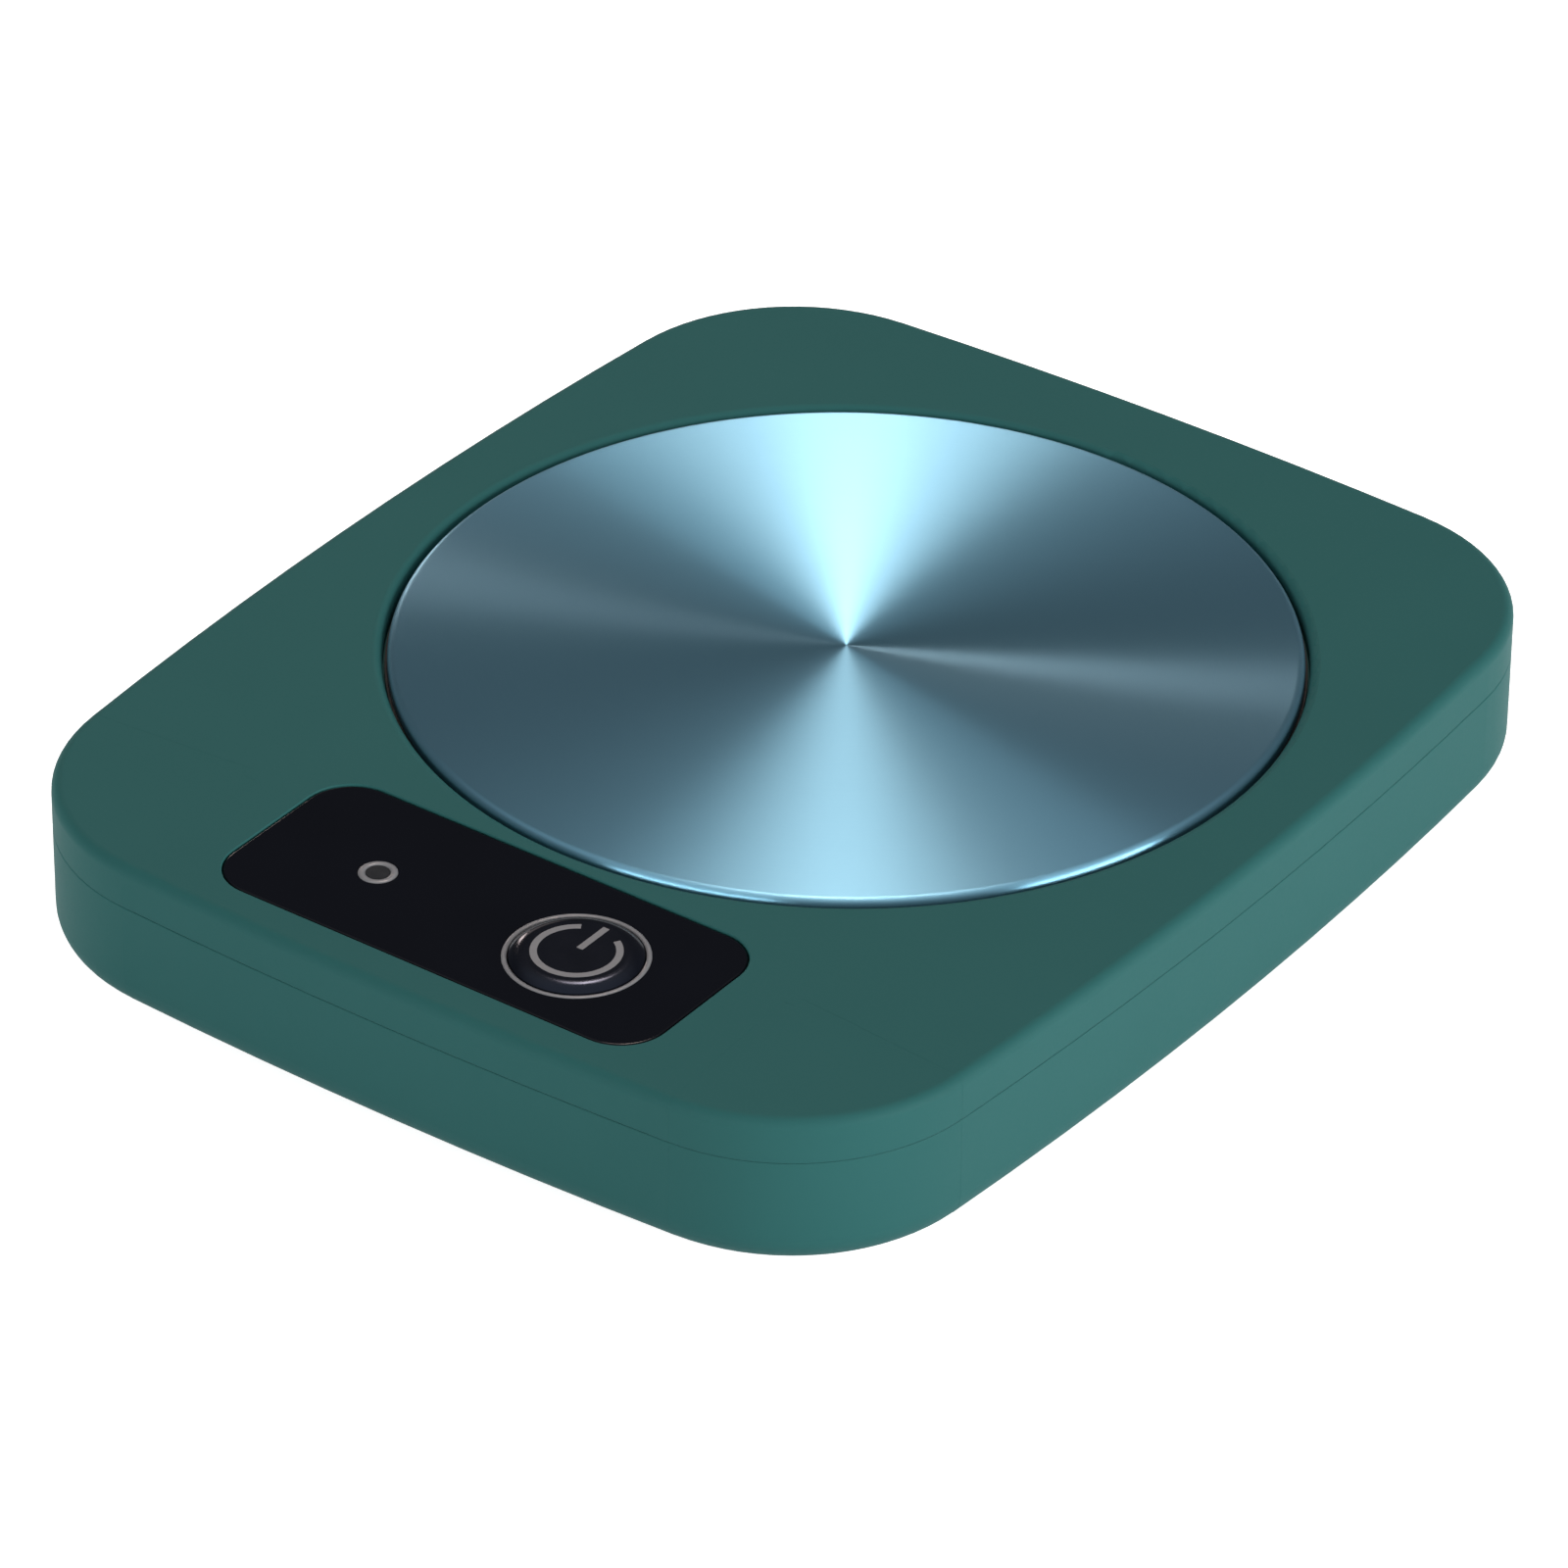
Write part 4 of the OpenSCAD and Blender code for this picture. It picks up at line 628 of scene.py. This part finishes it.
blocks = []
for mark, box, sides, z in (("core", core, (0,), middle_z), ("cap", given["Cap"], (-1, 1), middle_z),
        ("coat", given["Coat"], (0,), size["Z"])):
    block = add_node(tree, "GeometryNodeMeshCube", {"Size": box})
    marked = add_node(tree, "GeometryNodeStoreNamedAttribute", {"Geometry": block, "Name": mark,
        "Value": True}, data_type="BOOLEAN", domain="FACE")
    for side in sides:
        x = add_node(tree, "ShaderNodeMath", {0: reach, 1: float(side)}, operation="MULTIPLY")
        at = add_node(tree, "ShaderNodeCombineXYZ", {"X": x, "Z": z})
        blocks.append(add_node(tree, "GeometryNodeTransform", {"Geometry": marked, "Translation": at}))
whole = add_node(tree, "GeometryNodeJoinGeometry", {"Geometry": blocks})
placed = add_node(tree, "GeometryNodeInstanceOnPoints", {"Points": given["Geometry"], "Instance": whole})
end_tree(tree, placed, {"": given["Ceramic"], "cap": given["Caps"], "coat": given["Glass"]})

RESISTORS_Y, RESISTOR_STEP = -55.98, 2.4
resistors = grow("resistor_row", tree, resistor_sizes,
    [((i - 2.5) * RESISTOR_STEP, RESISTORS_Y, BOARD_Z) for i in range(6)])
fit(resistors, "chip_plastic", "chip_resistors")


# ---- Wire connectors ----
# Three two-way housings of natural nylon, moulded with a thin bright skin over a milky body.

# Nylon scatters some light inside, so that its edges look soft.
nylon, tree, shader, place = new_material("natural_nylon", {"IOR": 1.53, "Subsurface Weight": 0.1})
lay_grain(tree, shader, place, size=0.4 * MM, depth=0.01 * MM, smooth=0.35, rough=0.48)
lay_clouds(tree, shader, place, size=3 * MM, detail=2.0, dark="#dcd5bd", light="#eae4d0")
give(nylon, "wire_connectors")


# ---- Power inlet ----
# A USB-C receptacle: a seamless shell drawn from nickel-plated steel, round a tongue of black
# glass-filled nylon with twelve gold-plated contacts on its upper and lower side.

# Nickel is a warm, bright silver with a slight haze.
nickel, tree, shader, place = new_material("nickel_plated_steel", {"Metallic": 1.0})
lay_grain(tree, shader, place, size=0.6 * MM, depth=0.006 * MM, smooth=0.16, rough=0.3)
lay_clouds(tree, shader, place, size=2.5 * MM, detail=3.0, dark="#b3b2ae", light="#c6c5c1")
give(nickel, "usb_shell")

# The glass fibres reach the nylon's skin, and leave it dull and finely mottled.
filled_nylon, tree, shader, place = new_material("glass_filled_nylon_black", {"IOR": 1.55})
lay_grain(tree, shader, place, size=0.2 * MM, depth=0.015 * MM, smooth=0.45, rough=0.6)
lay_clouds(tree, shader, place, size=0.25 * MM, detail=4.0, dark="#17181a", light="#242528")
give(filled_nylon, "usb_tongue")

# Gold plating is a deep even yellow, a little paler where a plug has rubbed it.
gold, tree, shader, place = new_material("gold_plated_contacts", {"Metallic": 1.0})
lay_grain(tree, shader, place, size=0.2 * MM, depth=0.004 * MM, smooth=0.18, rough=0.3)
lay_clouds(tree, shader, place, size=0.5 * MM, detail=3.0, dark="#d3aa4e", light="#e2bd66")
give(gold, "usb_contacts")


# ---- Leads ----
# Silicone-insulated wires, 1.3 mm across, in red from the inlet, white from the heater and black
# from the thermistor. Each is stripped and tinned at its start, where it is soldered.

lead_sizes = {"Diameter": 1.3 * MM, "Bend radius": 2 * MM, "Stripped length": 1.2 * MM,
    "Stripped share": 0.55, "Insulation": tinned, "Wire": tinned}
tree, given = sized_tree("insulated_leads", lead_sizes)
line = add_node(tree, "GeometryNodeMeshToCurve", {"Mesh": given["Geometry"]})
bent = add_node(tree, "GeometryNodeFilletCurve", {"Curve": line, "Count": 8,
    "Radius": given["Bend radius"], "Limit Radius": True}, mode="POLY")
even = add_node(tree, "GeometryNodeResampleCurve", {"Curve": bent, "Length": 0.4 * MM}, mode="LENGTH")
along = add_node(tree, "GeometryNodeSplineParameter").outputs["Length"]
bare = add_node(tree, "FunctionNodeCompare", {"A": along, "B": given["Stripped length"]},
    data_type="FLOAT", operation="LESS_THAN")
marked = add_node(tree, "GeometryNodeStoreNamedAttribute", {"Geometry": even, "Name": "bare",
    "Value": bare}, data_type="BOOLEAN", domain="POINT")
thickness = add_node(tree, "GeometryNodeSwitch", {"Switch": bare, "False": 1.0,
    "True": given["Stripped share"]}, input_type="FLOAT")
half = add_node(tree, "ShaderNodeMath", {0: given["Diameter"], 1: 0.5}, operation="MULTIPLY")
round_wire = add_node(tree, "GeometryNodeCurvePrimitiveCircle", {"Resolution": 16, "Radius": half})
tube = add_node(tree, "GeometryNodeCurveToMesh", {"Curve": marked, "Profile Curve": round_wire,
    "Scale": thickness, "Fill Caps": True})
end_tree(tree, tube, {"": given["Insulation"], "bare": given["Wire"]})

# In mm: the contacts' place in the connectors, and the line where the leads turn up to them
CONTACT_X, CONTACT_Y, CONTACT_Z = 1.25, -40.68, 11.2
TURN_Y = -34.08
# Each pair: slot, tones, its connector's x, its soldered start, the height of its run in mm, and the
# y at which it has spread to the spacing of the contacts, where that is before the turn
routes = {
    "power_leads": ("lead_red", "#86302b", "#963a33", -17.6, (2.5, 51.05, INLET_BOARD_Z), 9.85, [39.05]),
    "sensor_leads": ("lead_black", "#1b1c1f", "#242528", -6, (0.75, PLATE_Y, 11.9), 10.95, [PLATE_Y - 14]),
    "heater_leads": ("lead_white", "#d2d2cd", "#deded9", 6, (1.25, PLATE_Y - 23.85, 14.9), 10.95, []),
}
for node_name, (slot, dark, light, connector_x, start, run_z, spread) in routes.items():
    # Extruded silicone has a satin skin, dusted with the talc that keeps it from sticking.
    insulation, paint, shader, place = new_material("silicone_insulation_" + slot[5:], {"IOR": 1.41})
    lay_grain(paint, shader, place, size=0.3 * MM, depth=0.01 * MM, smooth=0.45, rough=0.58)
    lay_clouds(paint, shader, place, size=2 * MM, detail=2.0, dark=dark, light=light)
    lines = []
    for side in (-1, 1):
        x = connector_x + side * CONTACT_X
        lines.append([(side * start[0], start[1], z) for z in (start[2], run_z)]
            + [(x, y, run_z) for y in spread + [TURN_Y]]
            + [(x, y, CONTACT_Z) for y in (CONTACT_Y + 3, CONTACT_Y)])
    leads = grow(node_name + "_pair", tree, {**lead_sizes, "Insulation": insulation}, *chain(lines))
    fit(leads, slot, node_name)


# ---- Screws ----
# Pan-head screws of zinc-plated steel with a cross recess, whose coarse thread forms its own way in
# plastic: M2.5 through the pressure plate and into the shells, and 1.7 mm through the boards.

# Barrel-plated zinc is a cloudy grey silver.
zinc, tree, shader, place = new_material("zinc_plated_steel", {"Metallic": 1.0})
lay_grain(tree, shader, place, size=0.3 * MM, depth=0.008 * MM, smooth=0.22, rough=0.38)
lay_clouds(tree, shader, place, size=1.2 * MM, detail=3.0, dark="#979ba0", light="#aeb2b6")


def screw_sizes(head_r, head_h, thread_r, length, turn):
    """Works out a pan-head screw from its head, thread and length in mm, and which way up it is."""
    return {"Head radius": head_r * MM, "Head height": head_h * MM, "Rim height": 0.66 * head_h * MM,
        "Thread radius": thread_r * MM, "Core radius": 0.78 * thread_r * MM, "Length": length * MM,
        "Pitch": 0.36 * 2 * thread_r * MM, "Turn": turn, "Metal": zinc}


# Each screw is drawn head up, with the underside of its head at its point.
HEAD_UP, HEAD_DOWN = (1.0, 1.0, 1.0), (1.0, -1.0, -1.0)
tree, given = sized_tree("pan_head_screws", screw_sizes(2.4, 1.9, 1.25, 6.0, HEAD_UP))
foot = add_node(tree, "ShaderNodeMath", {0: given["Length"], 1: -1.0}, operation="MULTIPLY")
point_top = add_node(tree, "ShaderNodeMath", {0: foot, 1: 0.5 * MM}, operation="ADD")
point_r = add_node(tree, "ShaderNodeMath", {0: given["Core radius"], 1: 0.5}, operation="MULTIPLY")
crown_r = add_node(tree, "ShaderNodeMath", {0: given["Head radius"], 1: 0.6}, operation="MULTIPLY")
blank = spun_mesh(tree, [(0.0, given["Head height"], 0.0), (crown_r, given["Head height"], 1.2 * MM),
    (given["Head radius"], given["Rim height"], 0.4 * MM), (given["Head radius"], 0.0, 0.15 * MM),
    (given["Core radius"], 0.0, 0.1 * MM), (given["Core radius"], point_top, 0.1 * MM),
    (point_r, foot, 0.1 * MM), (0.0, foot, 0.0)], 48)

# The cross recess: two crossed bars, centred on the top of the head, are cut out of it.
wing = add_node(tree, "ShaderNodeMath", {0: given["Head radius"], 1: 1.2}, operation="MULTIPLY")
slit = add_node(tree, "ShaderNodeMath", {0: given["Head radius"], 1: 0.28}, operation="MULTIPLY")
deep = add_node(tree, "ShaderNodeMath", {0: given["Head height"], 1: 1.2}, operation="MULTIPLY")
bars = []
for x, y in ((wing, slit), (slit, wing)):
    box = add_node(tree, "ShaderNodeCombineXYZ", {"X": x, "Y": y, "Z": deep})
    bars.append(add_node(tree, "GeometryNodeMeshCube", {"Size": box}))
cutter = add_node(tree, "GeometryNodeMeshBoolean", {"Mesh 2": bars}, operation="UNION", solver="EXACT")
lift = add_node(tree, "ShaderNodeCombineXYZ", {"Z": given["Head height"]})
lifted = add_node(tree, "GeometryNodeTransform", {"Geometry": cutter, "Translation": lift})
headed = add_node(tree, "GeometryNodeMeshBoolean", {"Mesh 1": blank, "Mesh 2": lifted},
    operation="DIFFERENCE", solver="EXACT")

# The thread: a coil whose crests reach the thread's radius, and whose roots lie in the core
thread_l = add_node(tree, "ShaderNodeMath", {0: given["Length"], 1: 0.9 * MM}, operation="SUBTRACT")
turns = add_node(tree, "ShaderNodeMath", {0: thread_l, 1: given["Pitch"]}, operation="DIVIDE")
ridge = add_node(tree, "ShaderNodeMath", {0: given["Thread radius"], 1: given["Core radius"]},
    operation="SUBTRACT")
ridge_r = add_node(tree, "ShaderNodeMath", {0: ridge, 1: 0.75}, operation="MULTIPLY")
helix_r = add_node(tree, "ShaderNodeMath", {0: given["Thread radius"], 1: ridge_r}, operation="SUBTRACT")
helix = add_node(tree, "GeometryNodeCurveSpiral", {"Resolution": 24, "Rotations": turns,
    "Start Radius": helix_r, "End Radius": helix_r, "Height": thread_l})
crest = add_node(tree, "GeometryNodeCurvePrimitiveCircle", {"Resolution": 4, "Radius": ridge_r})
coil = add_node(tree, "GeometryNodeCurveToMesh", {"Curve": helix, "Profile Curve": crest,
    "Fill Caps": True})
down = add_node(tree, "ShaderNodeCombineXYZ", {"Z": point_top})
thread = add_node(tree, "GeometryNodeTransform", {"Geometry": coil, "Translation": down})
screw = add_node(tree, "GeometryNodeJoinGeometry", {"Geometry": [headed, thread]})
placed = add_node(tree, "GeometryNodeInstanceOnPoints", {"Points": given["Geometry"], "Instance": screw,
    "Scale": given["Turn"]})
end_tree(tree, placed, {"": given["Metal"]})

# In mm: where the screws stand, and the faces that their heads bear on
CORNERS = [(i, j) for i in (-1, 1) for j in (-1, 1)]
PRESSURE_PLATE_Z, CASE_SEAT_Z = 13.1, 8.6
BOARD_MIDDLE_Y, BOARD_HOLE_X, BOARD_HOLE_Y = -49.48, 26.3, 7.8
INLET_HOLE_X, INLET_HOLE_Y = 7.4, 52.05
CASE_HOLE_X, CORNER_ROW_Y = 40.44, 52.523
# Each kind: its places, head radius and height, thread radius and length in mm, and which way up
screws = {
    "plate_screws": ([(x, y, PRESSURE_PLATE_Z) for x, y in BOSS_PLACES], 2.4, 1.6, 1.25, 3.4, HEAD_DOWN),
    "board_screws": ([(BOARD_HOLE_X * i, BOARD_MIDDLE_Y + BOARD_HOLE_Y * j, BOARD_Z) for i, j in CORNERS],
        1.8, 1.3, 0.85, 4.4, HEAD_UP),
    "inlet_screws": ([(INLET_HOLE_X * i, INLET_HOLE_Y, INLET_BOARD_Z) for i in (-1, 1)],
        1.8, 1.3, 0.85, 3.0, HEAD_UP),
    "case_screws": ([(CASE_HOLE_X * i, CORNER_ROW_Y * j, CASE_SEAT_Z) for i, j in CORNERS],
        2.4, 1.9, 1.25, 6.0, HEAD_DOWN),
}
for node_name, (places, *sizes) in screws.items():
    made = grow(node_name + "_threaded", tree, screw_sizes(*sizes), places)
    fit(made, "screw_steel", node_name)


# ---- Rubber feet ----
# Four moulded rubber discs, bonded into recesses of the floor. Their soles have two fine grooves
# that let the air out, so that the feet grip a smooth table.

# Rubber with carbon black is matte, and dust greys it a little.
rubber, tree, shader, place = new_material("moulded_rubber_black", {"IOR": 1.52})
lay_grain(tree, shader, place, size=0.3 * MM, depth=0.02 * MM, smooth=0.65, rough=0.8)
lay_clouds(tree, shader, place, size=3 * MM, detail=3.0, dark="#17181a", light="#222325")

foot_sizes = {"Radius": 6 * MM, "Height": 1.8 * MM, "Edge radius": 0.4 * MM, "Groove depth": 0.15 * MM,
    "Rubber": rubber}
tree, given = sized_tree("grooved_feet", foot_sizes)
corners = [(0.0, given["Height"], 0.0), (given["Radius"], given["Height"], 0.1 * MM),
    (given["Radius"], 0.0, given["Edge radius"])]
for groove_r in (4.3, 2.6):
    corners += [((groove_r + 0.3) * MM, 0.0, 0.05 * MM), ((groove_r + 0.2) * MM, given["Groove depth"], 0.0),
        ((groove_r - 0.2) * MM, given["Groove depth"], 0.0), ((groove_r - 0.3) * MM, 0.0, 0.05 * MM)]
foot = spun_mesh(tree, corners + [(0.0, 0.0, 0.0)], 96)
placed = add_node(tree, "GeometryNodeInstanceOnPoints", {"Points": given["Geometry"], "Instance": foot})
end_tree(tree, placed, {"": given["Rubber"]})

FOOT_X = 26.94
feet = grow("feet", tree, foot_sizes, [(FOOT_X * i, CORNER_ROW_Y * j, 0) for i, j in CORNERS])
fit(feet, "foot_rubber", "rubber_feet")


# ---- Table and light ----
# A wide white table, and soft lamps in a white room: a large one on the right, a low one in front
# and weak ones for the back and the left side. Four small ones draw the plate's fans: a bright core
# with a veil round it, one from the side, and a faint low one.

def white_rays(tree):
    """Returns 1 for the rays that see a white room: from the camera, off gloss and through glass."""
    rays = add_node(tree, "ShaderNodeLightPath").outputs
    seen = rays["Is Camera Ray"]
    for kind in ("Is Glossy Ray", "Is Transmission Ray"):
        seen = add_node(tree, "ShaderNodeMath", {0: seen, 1: rays[kind]}, operation="MAXIMUM")
    return seen


# Matte white paper scatters all light alike, so that only a soft shadow shows on it.
WHITE = linear("#ffffff")
paper, tree, shader, place = new_material("white_paper", {"Base Color": linear("#f3f3f3"),
    "Roughness": 0.9})
lift = add_node(tree, "ShaderNodeMath", {0: white_rays(tree), 1: 0.75}, operation="MULTIPLY")
glow = add_node(tree, "ShaderNodeEmission", {"Color": WHITE, "Strength": lift})
both = add_node(tree, "ShaderNodeAddShader", {0: shader, 1: glow})
feed(tree, tree.nodes["Material Output"], {"Surface": both})

# The table lies a hair below the feet, so that none of their faces lies in it.
side, table_top = 3.0, -0.05 * MM
floor_mesh = bpy.data.meshes.new("table")
floor_mesh.from_pydata([(-side, -side, table_top), (side, -side, table_top), (side, side, table_top),
    (-side, side, table_top)], [], [(0, 1, 2, 3)])
floor_mesh.materials.append(paper)
floor = bpy.data.objects.new("table", floor_mesh)
bpy.context.scene.collection.objects.link(floor)

# The room: white behind the object where the camera and gloss look at it, dim above that, and
# bright overhead
world = bpy.data.worlds.new("room")
bpy.context.scene.world = world
world.use_nodes = True
tree = world.node_tree
direction = add_node(tree, "ShaderNodeTexCoord").outputs["Generated"]
upward = add_node(tree, "ShaderNodeSeparateXYZ", {"Vector": direction}).outputs["Z"]
ceiling = add_node(tree, "ShaderNodeMapRange", {"Value": upward, "From Min": 0.55, "From Max": 1.0,
    "To Min": 0.06, "To Max": 0.74}, interpolation_type="SMOOTHSTEP")
wall = add_node(tree, "ShaderNodeMapRange", {"Value": upward, "From Min": 0.02, "From Max": 0.12,
    "To Min": 1.0, "To Max": 0.0}, interpolation_type="SMOOTHSTEP")
backdrop = add_node(tree, "ShaderNodeMath", {0: wall, 1: white_rays(tree)}, operation="MULTIPLY")
strength = add_node(tree, "ShaderNodeMath", {0: ceiling, 1: backdrop}, operation="MAXIMUM")
feed(tree, tree.nodes["Background"], {"Color": WHITE, "Strength": strength})

LAMP_DISTANCE = 1.2


def soft_lamp(name, plan, elevation, size, power, target, tint="#ffffff", in_gloss=True):
    """Hangs a soft lamp: its plan angle from +X, its elevation, its size and its power."""
    across, rise = math.radians(plan), math.radians(elevation)
    place = LAMP_DISTANCE * Vector((math.cos(rise) * math.cos(across), math.cos(rise) * math.sin(across),
        math.sin(rise)))
    lamp = bpy.data.lights.new(name, "AREA")
    lamp.shape = "RECTANGLE"
    lamp.size, lamp.size_y = size
    lamp.energy = power
    lamp.color = linear(tint)[:3]
    light = bpy.data.objects.new(name, lamp)
    light.location = place
    light.rotation_euler = (place - Vector(target)).to_track_quat("Z", "Y").to_euler()
    light.visible_glossy = in_gloss
    bpy.context.scene.collection.objects.link(light)


middle, on_plate = (0, 0, 0), (0.0, plate_middle.y, plate_high.z)
soft_lamp("key_right", 5, 15, (0.7, 0.5), 18, middle)
soft_lamp("front", -90, 20, (0.8, 0.3), 8, middle)
soft_lamp("back_fill", 100, 8, (0.8, 0.2), 5, middle, in_gloss=False)
soft_lamp("left_fill", 185, 8, (0.8, 0.2), 5, middle, in_gloss=False)
for name, plan, elevation, size, power in (
        ("fan_core", 125, 55, (0.08, 0.25), 1.6), ("fan_veil", 125, 55, (0.24, 0.25), 2.0),
        ("fan_side", 143, 18, (0.1, 0.2), 0.66), ("fan_low", 135, 20, (0.15, 0.15), 0.07)):
    soft_lamp(name, plan, elevation, size, power, on_plate, tint="#ffe9e0")


# ---- Camera ----
# A long lens a little under a metre away, above the near right corner.

SENSOR, FOCAL_PIXELS, FRAME_PIXELS = 36.0, 9562.87, 1600
azimuth, elevation, roll = math.radians(35.77), math.radians(33.15), math.radians(0.526)
distance = 0.8976
aim = Vector((0.00966, -0.0149, 0.0175))
back = Vector((math.sin(azimuth) * math.cos(elevation), -math.cos(azimuth) * math.cos(elevation),
    math.sin(elevation)))
right = Vector((math.cos(azimuth), math.sin(azimuth), 0.0))
up = back.cross(right)
turned_right = math.cos(roll) * right + math.sin(roll) * up
turned_up = math.cos(roll) * up - math.sin(roll) * right
camera_data = bpy.data.cameras.new("camera")
camera_data.sensor_width = SENSOR
camera_data.lens = SENSOR * FOCAL_PIXELS / FRAME_PIXELS
camera_data.clip_start = 0.05
camera_data.clip_end = 50.0
camera = bpy.data.objects.new("camera", camera_data)
camera.matrix_world = Matrix((turned_right, turned_up, back)).transposed().to_4x4()
camera.location = aim + distance * back
bpy.context.scene.collection.objects.link(camera)
bpy.context.scene.camera = camera
bpy.context.scene.view_settings.view_transform = "Standard"
